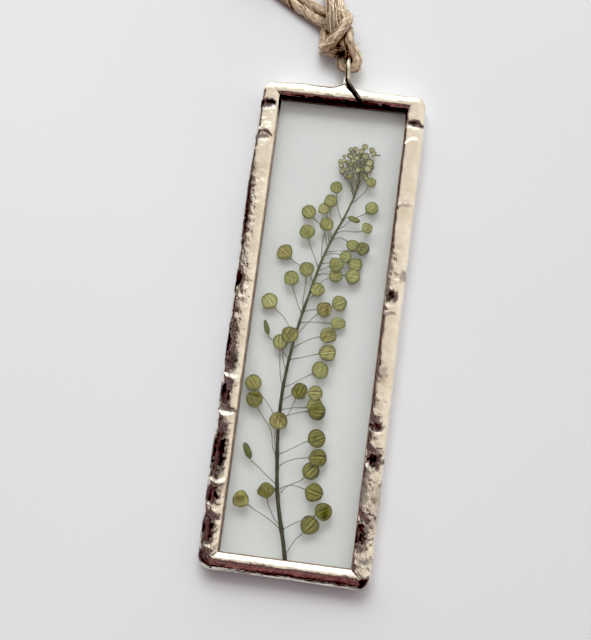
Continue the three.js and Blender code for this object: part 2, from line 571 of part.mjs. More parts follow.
// The origin is under the middle of the ornament's box, measured without the twine
const box = new THREE.Box3().setFromObject(ornament, true);
const middle = box.getCenter(new THREE.Vector3());

ornament.add(
  piece('twine_knot', knot(), JUTE),
  piece('twine_side_lower', tube(LOWER_SIDE, TWINE_D, TWINE_SIDES, 5), JUTE),
  piece('twine_side_upper', tube(UPPER_SIDE, TWINE_D, TWINE_SIDES, 5), JUTE),
  piece('twine_coil', coil(), JUTE),
);

const part = new THREE.Group();
ornament.position.set(-middle.x, -middle.y, -box.min.z);
part.add(ornament);
part.updateMatrixWorld(true);

export default part;
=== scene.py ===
import math

import bpy
import numpy as np
from mathutils import Matrix, Vector, noise


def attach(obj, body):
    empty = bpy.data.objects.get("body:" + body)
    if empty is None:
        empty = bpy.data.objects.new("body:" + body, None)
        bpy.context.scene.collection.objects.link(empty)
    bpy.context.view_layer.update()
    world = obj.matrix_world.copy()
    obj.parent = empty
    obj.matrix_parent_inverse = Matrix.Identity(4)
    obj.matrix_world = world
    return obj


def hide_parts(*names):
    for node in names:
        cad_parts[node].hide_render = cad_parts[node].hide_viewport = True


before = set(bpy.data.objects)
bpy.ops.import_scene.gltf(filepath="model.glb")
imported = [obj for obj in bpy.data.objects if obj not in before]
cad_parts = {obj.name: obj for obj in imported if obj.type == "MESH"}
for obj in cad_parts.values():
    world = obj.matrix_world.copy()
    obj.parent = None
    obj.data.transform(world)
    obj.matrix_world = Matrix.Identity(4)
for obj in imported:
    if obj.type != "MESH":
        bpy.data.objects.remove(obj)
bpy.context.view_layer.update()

# Positions below are in millimetres from the middle of the glass (X, Y) and from the surface (Z), as in the
# CAD model. The row's frame has its origin under the middle of the box without the twine.
MIDDLE_Y = 2.815
MM = 0.001

# Glass and solder border
GLASS_W = 24.4
GLASS_H = 76.2
GLASS_CORNER_R = 1.0
UNDERSIDE = 0.43
OVERSIDE = 3.67
CHANNEL = 0.12
SIDES = ["right", "top", "left", "bottom"]
LONG_STEPS = 330
SHORT_STEPS = 110
CORNER_STEPS = 10
CORNER_GROWTH = 1.5

# Sprig, between the panes
LAYER_Z = {"back": 1.79, "mid": 2.05, "front": 2.31}
STEM_Z = 1.9
POD_HALF_T = 0.13

# Wire and twine
WIRE_D = 0.8
TWINE_D = 1.6
COIL_CENTRE = (-14.0, 66.3)
OUTER_TURN_R = 9.6
INNER_TURN_R = 7.94
LOW_TURN_Z = 0.84
FIBRE_TOP = 5.3
HIGH_TURN_Z = 2.42

# Camera
CAMERA_AT = (9.771, -29.162, 197.496)
CAMERA_RIGHT = (0.99061231, 0.1288036, -0.04579172)
CAMERA_UP = (-0.12015506, 0.98015364, 0.15767565)
CAMERA_BACK = (0.06519211, -0.15069333, 0.98642866)
LENS = 71.55


def place(point):
    """A point in millimetres from the middle of the glass, as metres in the row's frame."""
    return (point[0] * MM, (point[1] - MIDDLE_Y) * MM, point[2] * MM)


def clamp(value):
    return min(max(value, 0), 1)


def ease(share):
    return share * share * (3 - 2 * share)


def bell(value, middle, width):
    return math.exp(-(((value - middle) / width) ** 2))


def bells(values, middle, width):
    return np.exp(-(((values - middle) / width) ** 2))


def circle(size, angles, flat=1):
    return size * np.cos(angles), flat * size * np.sin(angles)


def make_camera():
    data = bpy.data.cameras.new("camera")
    data.sensor_width = 36
    data.lens = LENS
    data.clip_start = 0.005
    data.clip_end = 20
    camera = bpy.data.objects.new("camera", data)
    turn = Matrix((CAMERA_RIGHT, CAMERA_UP, CAMERA_BACK)).transposed()
    camera.matrix_world = Matrix.Translation(place(CAMERA_AT)) @ turn.to_4x4()
    bpy.context.scene.collection.objects.link(camera)
    bpy.context.scene.camera = camera


# Curves and meshes

def smooth_line(points, step):
    """Points along a centripetal Catmull-Rom curve through the given points, about a step apart."""
    knots = [np.array(p, float) for p in points]
    knots = [2 * knots[0] - knots[1]] + knots + [2 * knots[-1] - knots[-2]]
    out = []
    for a, b, c, d in zip(knots, knots[1:], knots[2:], knots[3:]):
        t1 = math.sqrt(np.linalg.norm(b - a))
        t2 = t1 + math.sqrt(np.linalg.norm(c - b))
        t3 = t2 + math.sqrt(np.linalg.norm(d - c))
        for t in np.linspace(t1, t2, 24, endpoint=False):
            ab = (t1 - t) / t1 * a + t / t1 * b
            bc = (t2 - t) / (t2 - t1) * b + (t - t1) / (t2 - t1) * c
            cd = (t3 - t) / (t3 - t2) * c + (t - t2) / (t3 - t2) * d
            abc = (t2 - t) / t2 * ab + t / t2 * bc
            bcd = (t3 - t) / (t3 - t1) * bc + (t - t1) / (t3 - t1) * cd
            out.append((t2 - t) / (t2 - t1) * abc + (t - t1) / (t2 - t1) * bcd)
    out.append(knots[-2])
    return even_steps(np.array(out), step)


def distances(line):
    """How far along a line each of its points is."""
    return np.concatenate([[0], np.cumsum(np.linalg.norm(np.diff(line, axis=0), axis=1))])


def even_steps(line, step):
    lengths = distances(line)
    count = max(2, round(lengths[-1] / step)) + 1
    at = np.linspace(0, lengths[-1], count)
    return np.stack([np.interp(at, lengths, line[:, k]) for k in range(3)], axis=1)


def frames_along(line):
    """Tangent and two steady crosswise directions at every point of a line."""
    tangents = np.gradient(line, axis=0)
    tangents /= np.linalg.norm(tangents, axis=1)[:, None]
    side = np.cross(tangents[0], (0, 0, 1))
    if np.linalg.norm(side) < 0.1:
        side = np.cross(tangents[0], (1, 0, 0))
    side /= np.linalg.norm(side)
    sides = []
    for tangent in tangents:
        side = side - tangent * side.dot(tangent)
        side /= np.linalg.norm(side)
        sides.append(side)
    sides = np.array(sides)
    return tangents, sides, np.cross(tangents, sides)


def swept(line, shape, around):
    """Rings of points round a line. shape(angles, distance, share) gives the two crosswise offsets."""
    _, sides, ups = frames_along(line)
    lengths = distances(line)
    angles = np.arange(around) * 2 * math.pi / around
    rows = []
    for i, centre in enumerate(line):
        across, up = shape(angles, lengths[i], i / (len(line) - 1))
        rows.append(centre + across[:, None] * sides[i] + up[:, None] * ups[i])
    return np.array(rows)


def grid_faces(rows, around, start=0, ring=False):
    """Faces of a tube of rings. A tube that isn't a ring gets its two ends closed."""
    faces = []
    spans = rows if ring else rows - 1
    for i in range(spans):
        here = start + i * around
        there = start + ((i + 1) % rows) * around
        for j in range(around):
            k = (j + 1) % around
            faces.append((here + j, here + k, there + k, there + j))
    if not ring:
        last = start + (rows - 1) * around
        faces.append(tuple(start + j for j in reversed(range(around))))
        faces.append(tuple(last + j for j in range(around)))
    return faces


def make_mesh(name, verts, faces, material, tint=None, smooth=True):
    """A mesh object from millimetre points, outward faces, riding on the body."""
    mesh = bpy.data.meshes.new(name)
    mesh.from_pydata([place(v) for v in verts], [], faces)
    mesh.materials.append(material)
    if tint is not None:
        layer = mesh.color_attributes.new("tint", "FLOAT_COLOR", "POINT")
        colours = np.ones((len(tint), 4))
        colours[:, :tint.shape[1]] = tint
        layer.data.foreach_set("color", colours.ravel())
    for polygon in mesh.polygons:
        polygon.use_smooth = smooth
    mesh.update()
    piece = bpy.data.objects.new(name, mesh)
    bpy.context.scene.collection.objects.link(piece)
    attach(piece, "root")
    return piece


class Parts:
    """Several closed skins gathered into one mesh."""

    def __init__(self):
        self.verts = []
        self.faces = []
        self.tints = []

    def add_rows(self, rows, tint=None):
        count, around = rows.shape[:2]
        self.faces += grid_faces(count, around, len(self.verts))
        flat = rows.reshape(-1, 3)
        self.verts += [tuple(p) for p in flat]
        if tint is not None:
            shades = np.broadcast_to(np.array(tint, float), (count, around, 3))
            self.tints += [tuple(t) for t in shades.reshape(-1, 3)]

    def make(self, name, material):
        tint = np.array(self.tints) if self.tints else None
        return make_mesh(name, self.verts, self.faces, material, tint)


def linear(red, green, blue):
    """An sRGB colour as linear light."""
    return tuple((c / 12.92 if c <= 0.04045 else ((c + 0.055) / 1.055) ** 2.4)
                 for c in (red / 255, green / 255, blue / 255))


def wave(values, seed, count=6, low=1.0, high=4.0):
    """Smooth repeatable wobble of mean 0 and about unit height."""
    random = np.random.default_rng(seed)
    total = np.zeros_like(values, dtype=float)
    for _ in range(count):
        total += np.sin(values * random.uniform(low, high) + random.uniform(0, 2 * math.pi))
    return total / math.sqrt(count / 2)


# Materials

class Nodes:
    """A node tree whose textures sit in one coordinate space."""

    def __init__(self, tree, space):
        self.nodes = tree.nodes
        self.links = tree.links
        self.space = space

    def feed(self, socket, value):
        """Link a socket to another, or give it a value."""
        if isinstance(value, bpy.types.NodeSocket):
            self.links.new(value, socket)
        elif isinstance(value, tuple) and len(socket.default_value) == 4:
            socket.default_value = (*value, 1)
        else:
            socket.default_value = value

    def node(self, kind, inputs=None, **settings):
        node = self.nodes.new(kind)
        for name, value in settings.items():
            setattr(node, name, value)
        for name, value in (inputs or {}).items():
            self.feed(node.inputs[name], value)
        return node

    def stretched(self, scale=(1, 1, 1)):
        source = self.node("ShaderNodeTexCoord").outputs[self.space]
        return self.node("ShaderNodeMapping", {"Vector": source, "Scale": scale}).outputs["Vector"]

    def noise(self, scale, detail=3.0, roughness=0.55, stretch=(1, 1, 1)):
        inputs = {"Vector": self.stretched(stretch), "Scale": scale, "Detail": detail,
                  "Roughness": roughness}
        return self.node("ShaderNodeTexNoise", inputs).outputs["Fac"]

    def axis(self, name):
        return self.node("ShaderNodeSeparateXYZ", {"Vector": self.stretched()}).outputs[name]

    def span(self, value, low, high, last=1.0, first=0.0, **settings):
        """From first to last as the value goes from low to high."""
        inputs = {"Value": value, "From Min": low, "From Max": high, "To Min": first, "To Max": last}
        return self.node("ShaderNodeMapRange", inputs, **settings).outputs["Result"]

    def mix(self, kind, amount, first, second):
        inputs = {"Factor": amount, "A": first, "B": second}
        return self.node("ShaderNodeMix", inputs, data_type="RGBA", blend_type=kind).outputs["Result"]


class Look(Nodes):
    """A material round its main shader."""

    def __init__(self, name, **values):
        self.material = bpy.data.materials.new(name)
        self.material.use_nodes = True
        super().__init__(self.material.node_tree, "Object")
        self.shader = self.nodes["Principled BSDF"]
        for socket, value in values.items():
            self.to(socket.replace("_", " "), value)

    def to(self, name, value):
        self.feed(self.shader.inputs[name], value)

    def ramp(self, source, *stops):
        ramp = self.node("ShaderNodeValToRGB", {"Fac": source})
        for element, (at, colour) in zip(ramp.color_ramp.elements, stops):
            element.position = at
            element.color = (*(colour if isinstance(colour, tuple) else (colour,) * 3), 1)
        return ramp.outputs["Color"]

    def tint(self, channel="Color"):
        return self.node("ShaderNodeVertexColor", layer_name="tint").outputs[channel]

    def bump(self, height, distance, strength=1.0):
        """Fine relief, on top of any that is there already."""
        inputs = {"Height": height, "Distance": distance, "Strength": strength}
        normal = self.shader.inputs["Normal"]
        if normal.is_linked:
            inputs["Normal"] = normal.links[0].from_socket
        self.links.new(self.node("ShaderNodeBump", inputs).outputs["Normal"], normal)


def glass_look():
    return Look("clear_glass", Base_Color=(0.971, 0.977, 0.967), Roughness=0.0, IOR=1.52,
                Transmission_Weight=1.0).material


def foil_look():
    look = Look("copper_foil", Metallic=1.0, Roughness=0.42)
    patina = look.ramp(look.noise(900), (0.35, linear(172, 158, 152)), (0.75, linear(214, 202, 195)))
    # Nearly black along the top edge, partly patina and partly painted shadow where the foil lies in shade
    # under the solder, and mauve at its very top. The object's own Y is in metres
    height = look.axis("Y")
    shaded = look.mix("MIX", look.span(height, 0.03335, 0.0335), linear(34, 22, 22), linear(205, 180, 186))
    look.to("Base Color", look.mix("MIX", look.span(height, 0.03, 0.032), patina, shaded))
    look.bump(look.noise(2500), 0.00002)
    return look.material


def solder_look():
    look = Look("solder")
    bare_metal = look.ramp(look.noise(260, 4, 0.6), (0.3, linear(232, 223, 210)), (0.62, linear(247, 242, 233)))
    # The tint darkens the solder with oxide and with painted dark reflections of the room
    oxide_and_reflection_tint = look.tint()
    look.to("Base Color", look.mix("MULTIPLY", 1.0, bare_metal, oxide_and_reflection_tint))
    look.to("Metallic", look.ramp(oxide_and_reflection_tint, (0.1, 0.1), (0.75, 1.0)))
    look.to("Roughness", look.ramp(look.noise(1700, 4), (0.35, 0.1), (0.7, 0.26)))
    look.bump(look.noise(700), 0.00003, 0.6)
    look.bump(look.noise(1300, stretch=(1, 0.6, 1)), 0.0002, look.tint("Alpha"))
    return look.material


def wire_look():
    look = Look("tinned_wire", Metallic=1.0)
    spots = look.noise(900)
    metal = look.ramp(spots, (0.35, linear(170, 158, 144)), (0.6, linear(240, 234, 224)))
    look.to("Base Color", look.mix("MULTIPLY", 1.0, metal, look.tint()))
    look.to("Roughness", look.ramp(spots, (0.3, 0.35), (0.6, 0.16)))
    look.bump(spots, 0.00002)
    return look.material


def plant_look():
    look = Look("dried_plant", Roughness=0.75, Specular_IOR_Level=0.35)
    speckle = look.noise(2600, 4, 0.65)
    shade = look.ramp(speckle, (0.3, 0.72), (0.7, 1.12))
    look.to("Base Color", look.mix("MULTIPLY", 1.0, look.tint(), shade))
    look.bump(speckle, 0.00003)
    return look.material


def jute_look():
    look = Look("jute", Roughness=0.9, Specular_IOR_Level=0.2, Sheen_Weight=0.25, Sheen_Roughness=0.6)
    hair = look.noise(1500, 4, 0.7)
    shade = look.ramp(hair, (0.3, 0.62), (0.68, 1.12))
    look.to("Base Color", look.mix("MULTIPLY", 1.0, look.tint(), shade))
    look.bump(hair, 0.00008)
    return look.material


def floor_look():
    look = Look("floor", Roughness=0.7, Specular_IOR_Level=0.2)
    plain = look.ramp(look.noise(9, 2), (0.3, (0.732, 0.774, 0.827)), (0.7, (0.761, 0.804, 0.857)))
    # Painted shade: a little darker to the right and towards the front
    for axis, near, far, shade in (("X", -0.03, 0.04, 0.955), ("Y", 0.02, -0.05, 0.96)):
        plain = look.mix("MULTIPLY", 1.0, plain, look.span(look.axis(axis), near, far, shade, 1.0))
    look.to("Base Color", plain)
    look.bump(look.noise(1500), 0.00001)
    return look.material


# Twine

KNOT_UNDER = [
    (0, 42.3, 2.35), (-1.1, 42.45, 2.4), (-1.36, 43.7, 2.6), (-1.05, 45.2, 2.6), (-2.1, 47.1, 2.6),
    (-3.5, 48.8, 2.2), (-4.9, 49.65, 1.6), (-5.9, 50.15, 1.3),
]
KNOT_OVER = [
    (0, 42.3, 2.35), (1.1, 42.45, 2.4), (1.22, 43.8, 2.8), (0.45, 45.1, 3.2), (-0.4, 46.4, 3.4),
    (-0.7, 48.0, 2.9), (-1.4, 49.5, 1.9), (-3.1, 49.9, 0.95), (-4.35, 48.8, 0.85), (-4.45, 47.2, 0.85),
    (-4.45, 45.8, 1.1),
    (-4.2, 44.8, 2.2), (-3.4, 45.3, 3.6), (-2.4, 46.6, 4.4), (-1.4, 48.2, 4.5), (-0.95, 49.9, 3.9),
    (-2.0, 51.1, 3.0), (-3.9, 51.3, 2.1), (-5.1, 51.6, 1.65),
]
KNOT_TAILS = [
    [(-1.3, 48.6, 3.0), (-2.0, 50.6, 3.0), (-2.7, 52.6, 2.2), (-3.3, 54.6, 1.4)],
    [(-2.5, 46.8, 2.9), (-3.4, 49.2, 3.4), (-4.0, 51.9, 3.1), (-4.8, 54.6, 1.5)],
]
LOWER_SIDE = [(-5.6, 50.0, 1.35), (-7.0, 50.75, 1.0), (-8.8, 51.75, 0.85), (-11.0, 53.1, 0.84),
              (-13.2, 54.45, 0.84)]
UPPER_SIDE = [(-4.9, 51.55, 1.7), (-6.2, 52.1, 1.25), (-8.0, 53.1, 0.95), (-9.5, 54.1, 0.84),
              (-11.0, 55.05, 0.84)]
ARRIVAL = 240
CLIMB = (-40, -95)
OUTER_END = -330
END_BEND_R = 3.5
BACK_BEND_R = 4.0
STRAIGHT = 3.68
INNER_START = -219.2
LOOP_END_Z = 1.3
# Painted shade: where the knot is darkened inside the hollow of the bight, left of the wire
PAINTED_SHADOW_AT = (-1.36, 43.95)
PAINTED_SHADOW_R = (1.1, 1.4)
JUTE_LIGHT = np.array(linear(250, 234, 210))
JUTE_DARK = np.array(linear(116, 90, 70))


def turn_height(angle):
    """Height of a turn: low for the first turn, then up over the incoming strands."""
    return LOW_TURN_Z + (HIGH_TURN_Z - LOW_TURN_Z) * ease(clamp((CLIMB[0] - angle) / (CLIMB[0] - CLIMB[1])))


def coil_point(radius, turn, z):
    return (COIL_CENTRE[0] + radius * math.cos(turn), COIL_CENTRE[1] + radius * math.sin(turn), z)


def turn_points(radius, start, end, step=6):
    angles = np.linspace(start, end, round(abs(end - start) / step) + 1)
    return [coil_point(radius, math.radians(angle), turn_height(angle)) for angle in angles]


def loop_end_points():
    """The far end of the twine's loop, doubled back inside the coil."""
    heading = math.radians(OUTER_END)
    local = []
    bend_centre = OUTER_TURN_R - END_BEND_R
    for angle in np.linspace(0, -180, 13)[1:]:
        turn = math.radians(angle)
        local.append((bend_centre + END_BEND_R * math.cos(turn), END_BEND_R * math.sin(turn)))
    inside = bend_centre - END_BEND_R
    local += [(inside, STRAIGHT * share) for share in (0.33, 0.66, 1.0)]
    sweep = math.degrees(math.atan2(STRAIGHT, inside - BACK_BEND_R))
    for angle in np.linspace(0, sweep, 8)[1:-1]:
        turn = math.radians(angle)
        local.append((inside - BACK_BEND_R + BACK_BEND_R * math.cos(turn),
                      STRAIGHT + BACK_BEND_R * math.sin(turn)))
    points = []
    for x, y in local:
        radius = math.hypot(x, y)
        z = HIGH_TURN_Z - (HIGH_TURN_Z - LOOP_END_Z) * ease(clamp((INNER_TURN_R - 0.2 - radius) / 3.6))
        points.append((COIL_CENTRE[0] + x * math.cos(heading) - y * math.sin(heading),
                       COIL_CENTRE[1] + x * math.sin(heading) + y * math.cos(heading), z))
    return points


def hanger_route():
    out = LOWER_SIDE + turn_points(OUTER_TURN_R, ARRIVAL, OUTER_END) + loop_end_points()
    back = UPPER_SIDE + turn_points(INNER_TURN_R, ARRIVAL, INNER_START)
    return out + back[::-1]


def twine_rows(line, radius, seed, around=26, pitch=7.0, tip=1):
    """Jute strand: two plies laid together, with fibre grooves that follow the twist."""
    random = np.random.default_rng(seed)
    phases = random.uniform(0, 2 * math.pi, 5)

    def shape(angles, distance, share):
        twist = 2 * math.pi * distance / pitch
        turned = angles - twist
        lobes = 0.09 * np.cos(2 * turned)
        grooves = (0.045 * np.sin(7 * turned + phases[0] + 0.35 * math.sin(distance * 0.9 + phases[1]))
                   + 0.04 * np.sin(11 * turned + phases[2] + 0.5 * math.sin(distance * 1.3 + phases[3])))
        uneven = 0.05 * math.sin(distance * 1.7 + phases[4]) + 0.03 * math.sin(distance * 4.1 + phases[1])
        size = radius * (0.94 + lobes + grooves + uneven)
        return circle(size * (tip + (1 - tip) * min((1 - share) * 8, 1)), angles)

    return swept(line, shape, around)


def jute(share):
    """A shade between dark and light jute."""
    return JUTE_DARK + (JUTE_LIGHT - JUTE_DARK) * share


def twine_tint(rows, seed):
    """Fibre colours: streaks along the twine between two shades of jute."""
    count, around = rows.shape[:2]
    along = np.linspace(0, count * 0.12, count)[:, None]
    about = np.arange(around)[None, :] * 2 * math.pi / around
    streak = wave(along * 0.8 + 3 * np.sin(about), seed) + wave(about * 4 + along * 0.9, seed + 1)
    return jute(np.clip(0.6 + 0.2 * streak, 0, 1)[..., None])


def add_hairs(parts, line, radius, count, seed, length=(0.8, 2.6), thickness=0.028):
    """Loose fibres that stand off a strand and curl away from it."""
    random = np.random.default_rng(seed)
    tangents, sides, ups = frames_along(line)
    for _ in range(count):
        i = random.integers(0, len(line))
        angle = random.uniform(0, 2 * math.pi)
        out = math.cos(angle) * sides[i] + math.sin(angle) * ups[i]
        lean = tangents[i] * random.choice((-1, 1)) * random.uniform(0.5, 1.6)
        start = line[i] + out * radius * 0.85
        reach = random.uniform(*length)
        direction = out * random.uniform(0.25, 0.9) + lean
        direction /= np.linalg.norm(direction)
        bend = random.normal(0, 0.45, 3)
        points = []
        for share in np.linspace(0, 1, 6):
            point = start + direction * reach * share + bend * reach * share * share
            point[2] = min(max(point[2], 0.06), FIBRE_TOP)
            points.append(point)
        add_thread(parts, np.array(points), thickness, jute(random.uniform(0.4, 1.1)))


def knot_painted_shade(points):
    """How light the painted shade leaves the knot at each point: it is dark inside the bight, left of the
    wire, where shade falls in the hollow.
    """
    hollow = sum(((points[..., k] - PAINTED_SHADOW_AT[k]) / PAINTED_SHADOW_R[k]) ** 2 for k in (0, 1))
    return (1 - 0.91 * np.exp(-hollow ** 2))[..., None]


def add_fibres(parts, line, radius, count, seed, reach=(3, 9), pitch=7.0, thickness=0.1, shade=None):
    """Coarse fibres laid along the outside of a strand, following its twist. A shade function, when given,
    darkens them with painted shade.
    """
    random = np.random.default_rng(seed)
    _, sides, ups = frames_along(line)
    lengths = distances(line)
    for _ in range(count):
        start = random.uniform(-1, max(lengths[-1] - 1.5, 0))
        picked = (lengths >= start) & (lengths <= start + random.uniform(*reach))
        if picked.sum() < 4:
            continue
        angle = random.uniform(0, 2 * math.pi)
        angle = angle + 2 * math.pi * lengths[picked] / pitch * random.uniform(0.5, 1.1)
        out = np.cos(angle)[:, None] * sides[picked] + np.sin(angle)[:, None] * ups[picked]
        points = line[picked] + out * radius * random.uniform(0.9, 1.02)
        points[:, 2] = np.clip(points[:, 2], 0.16, FIBRE_TOP - 0.15)
        tint = jute(random.uniform(0.0, 1.2))
        if shade:
            tint = (tint * shade(points))[:, None, :]
        add_thread(parts, points, thickness * random.uniform(0.6, 1.3), tint, 4)


def add_thread(parts, line, thickness, tint, around=3):
    def shape(angles, distance, share):
        return circle(thickness * (1 - 0.7 * share), angles)

    parts.add_rows(swept(line, shape, around), tint)


def strand_rows(line, radius, seed, **settings):
    """A strand's skin, kept above the surface that it lies on."""
    rows = twine_rows(line, radius, seed, **settings)
    rows[..., 2] = np.maximum(rows[..., 2], 0.02)
    return rows


def make_loop(jute_material, route):
    line = smooth_line(route, 0.3)
    cord = Parts()
    rows = strand_rows(line, TWINE_D / 2, 5, around=24)
    cord.add_rows(rows, twine_tint(rows, 11))
    coarse = smooth_line(route, 0.6)
    # All along, and more finely on the two ends by the knot, which show from near
    add_fibres(cord, coarse, TWINE_D / 2, 260, 22)
    add_fibres(cord, coarse[:34], TWINE_D / 2, 110, 23, reach=(2, 6), thickness=0.06)
    add_fibres(cord, coarse[-30:], TWINE_D / 2, 90, 24, reach=(2, 6), thickness=0.06)
    add_hairs(cord, line, TWINE_D / 2, 380, 21, length=(0.5, 1.2))
    return cord.make("hanger_twine", jute_material)


def add_knot_frays(knot, random):
    """Threads darkened as painted shade inside the bight, and the frayed strand low on the left, beside it,
    also darkened there by painted shade.
    """
    # Painted shade: dark threads put inside the bight, where shade falls between the strands
    for _ in range(18):
        x = random.uniform(0.3, 0.62)
        inside = smooth_line([(x - 0.1, 44.9, 2.0), (x, 43.9, 1.7), (x - 0.05, 42.9, 1.9)], 0.3)
        add_thread(knot, inside, 0.1, JUTE_DARK * random.uniform(0.4, 0.9))
    for _ in range(130):
        rise = random.uniform(0, 2.5)
        z = random.uniform(1.0, 3.3 - 0.3 * rise)
        across = smooth_line([(-4.1 + 0.4 * rise, 44.7 + rise, z), (-2.8, 44.1 + 0.95 * rise, z + 0.2),
                              (-1.1, 44.3 + 0.9 * rise, z)], 0.3)
        # Painted shade of the bight's hollow darkens these threads
        tint = jute(random.uniform(0.3, 1.2)) * knot_painted_shade(across)
        add_thread(knot, across, 0.2 * random.uniform(0.6, 1.3), tint[:, None, :], 4)


def add_tail(knot, points, random):
    """A tail of the knot, whose end fans out into loose fibres."""
    strand = smooth_line(points, 0.2)
    rows = twine_rows(strand, TWINE_D * 0.42, 50, around=20, tip=0.55)
    knot.add_rows(rows, twine_tint(rows, 51) * 0.6)
    add_fibres(knot, strand, TWINE_D * 0.5, 60, round(points[0][1] * 10), (3, 7), pitch=30, thickness=0.12)
    tip = np.array(points[-1])
    ahead = tip - np.array(points[-2])
    ahead /= np.linalg.norm(ahead)
    for _ in range(80):
        spread = random.normal(0, 0.3, 3) * (1, 1, 0.4)
        start = tip - ahead * random.uniform(0.4, 3.4) + random.normal(0, 0.35, 3)
        reach = random.uniform(1.0, 2.6)
        fan = np.array([start + (ahead + spread * share) * reach * share for share in np.linspace(0, 1, 6)])
        fan[:, 2] = np.clip(fan[:, 2], 0.08, FIBRE_TOP - 0.08)
        add_thread(knot, fan, 0.07, jute(random.uniform(0.5, 1.15)))


def make_knot(jute_material):
    knot = Parts()
    for i, (points, seed) in enumerate(((KNOT_UNDER, 31), (KNOT_OVER, 32))):
        strand = smooth_line(points, 0.14)
        rows = strand_rows(strand, TWINE_D / 2, seed, around=32)
        # Painted shade darkens the strands inside the bight
        knot.add_rows(rows, twine_tint(rows, seed) * knot_painted_shade(rows))
        add_fibres(knot, smooth_line(points, 0.3), TWINE_D / 2, 150 + 110 * i, seed + 20, reach=(1.5, 5),
                   thickness=0.06, shade=knot_painted_shade)
        add_hairs(knot, strand, TWINE_D / 2, 60 + 70 * i, seed + 10, length=(0.5, 1.4), thickness=0.035)
    random = np.random.default_rng(77)
    add_knot_frays(knot, random)
    for points in KNOT_TAILS:
        add_tail(knot, points, random)
    return knot.make("hanger_knot", jute_material)


def make_binding(jute_material):
    """A thin strand wrapped three times round the laid turns of the twine."""
    wraps = []
    for turn in np.linspace(0, 3 * 2 * math.pi, 73):
        angle = math.radians(172 + 7 * turn / (2 * math.pi))
        swing = 1.62 * math.cos(turn) * (1 if abs(math.cos(turn)) < 0.9 else 0.99)
        radius = (OUTER_TURN_R + INNER_TURN_R) / 2 + swing
        wraps.append(coil_point(radius, angle, 1.64 + 1.42 * math.sin(turn)))
    rows = strand_rows(even_steps(np.array(wraps), 0.25), 0.2, 61, around=10, pitch=3)
    tie = Parts()
    tie.add_rows(rows, twine_tint(rows, 62))
    return tie.make("coil_tie", jute_material)


def make_twine(jute_material):
    route = hanger_route()
    loop = make_loop(jute_material, route)
    tied = make_knot(jute_material)
    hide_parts("twine_knot")
    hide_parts("twine_side_lower", "twine_side_upper", "twine_coil")
    binding = make_binding(jute_material)


# Solder

# The plain bead's section: how far outside the glass's edge, and how high
SECTION = [
    (-2.05, UNDERSIDE), (-1.93, 0.3), (-1.72, 0.14), (-1.3, 0.0), (-0.5, 0.0), (-0.05, 0.1), (0.3, 0.34),
    (0.5, 0.68), (0.585, 1.2), (0.6, 2.05), (0.585, 2.8), (0.53, 3.3), (0.4, 3.66), (0.14, 3.9),
    (-0.3, 4.04), (-0.8, 4.1), (-1.3, 4.09), (-1.66, 4.02), (-1.88, 3.9), (-2.0, 3.78),
    (-2.05, OVERSIDE),
]

# How far the face of each side falls away towards its outer edge (in mm) and its inner edge (as a share of
# its height above the glass), at places along it
FALL_OUT = {
    "left": [
        (-38, 0.3), (-32, 0.36), (-30.6, 0.3), (-30, 0.02), (-29.3, 0.02), (-28.8, 0.3), (-26.2, 0.34),
        (-25.6, 0.0), (-25.2, 0.42), (-18, 0.44), (-17, 0.1), (-15, 0.0), (-14.2, 0.36), (-10.2, 0.34),
        (-9.4, 0.0), (-9.0, 0.26), (-2.5, 0.34), (-0.5, 0.12), (3, 0.08), (5.5, 0.3), (8, 0.06),
        (13, 0.16), (19, 0.12), (22, 0.14), (25, 0.0), (38, 0.0),
    ],
    "right": [(-38, 0.04), (38, 0.04)],
    "top": [(-12, 0.05), (12, 0.05)],
    "bottom": [(-12, 0.6), (-7.6, 0.56), (-7, 0.4), (-6.3, 0.54), (-1, 0.54), (1, 0.62), (12, 0.62)],
}
FALL_IN = {
    "left": [(-38, 0.1), (38, 0.1)],
    "right": [
        (-36, 0.1), (-33.5, 0.8), (-28.6, 0.95), (-27.6, 0.2), (-25, 0.45), (-22.5, 0.5), (-21, 0.3),
        (-20.4, 0.9), (-18.3, 0.95), (-17.5, 0.1), (-15.3, 0.1), (-14.7, 0.95), (-13.8, 0.9),
        (-12.8, 0.2), (-9, 0.3), (-5, 0.5), (-3, 0.1), (3, 0.1), (4.8, 0.6), (6.2, 0.8), (7.5, 0.5),
        (12, 0.45), (15, 0.1), (36, 0.1),
    ],
    "top": [
        (-11.1, 0.1), (-10.5, 0.3), (-9.9, 0.62), (-7, 0.6), (-4, 0.62), (-2.4, 0.85), (-0.6, 0.6),
        (1, 0.7), (2.4, 0.98), (4.4, 0.98), (5, 0.8), (7, 0.6), (9.8, 0.6), (10.4, 0.35), (11.1, 0.1),
    ],
    "bottom": [(-12, 0.5), (12, 0.5)],
}
# How much further out the outer edge of each side stands than a plain bead, at places along it
REACH = {
    "left": [
        (-38, 0.36), (-30, 0.42), (8, 0.42), (12, 0.5), (24, 0.6), (29, 0.45), (34, 0.35), (38, 0.2),
    ],
    "right": [(-38, 0.45), (-12, 0.42), (5, 0.32), (12, 0.4), (22, 0.45), (32, 0.5), (38, 0.25)],
    "top": [
        (-12, -0.3), (-10, -0.25), (-7, -0.03), (-4, -0.2), (-2, -0.18), (0, 0.0), (2, 0.02), (4, -0.2),
        (7, -0.32), (10, -0.3), (12, -0.3),
    ],
    "bottom": [(-12, 0.08), (0, 0.12), (12, 0.28)],
}
# Where across the bead the outer and the inner fall start
OUT_START = {"left": -1.2, "right": -1.2, "top": -0.3, "bottom": -0.95}
IN_START = {"left": -1.2, "right": -0.5, "top": -1.42, "bottom": -1.3}
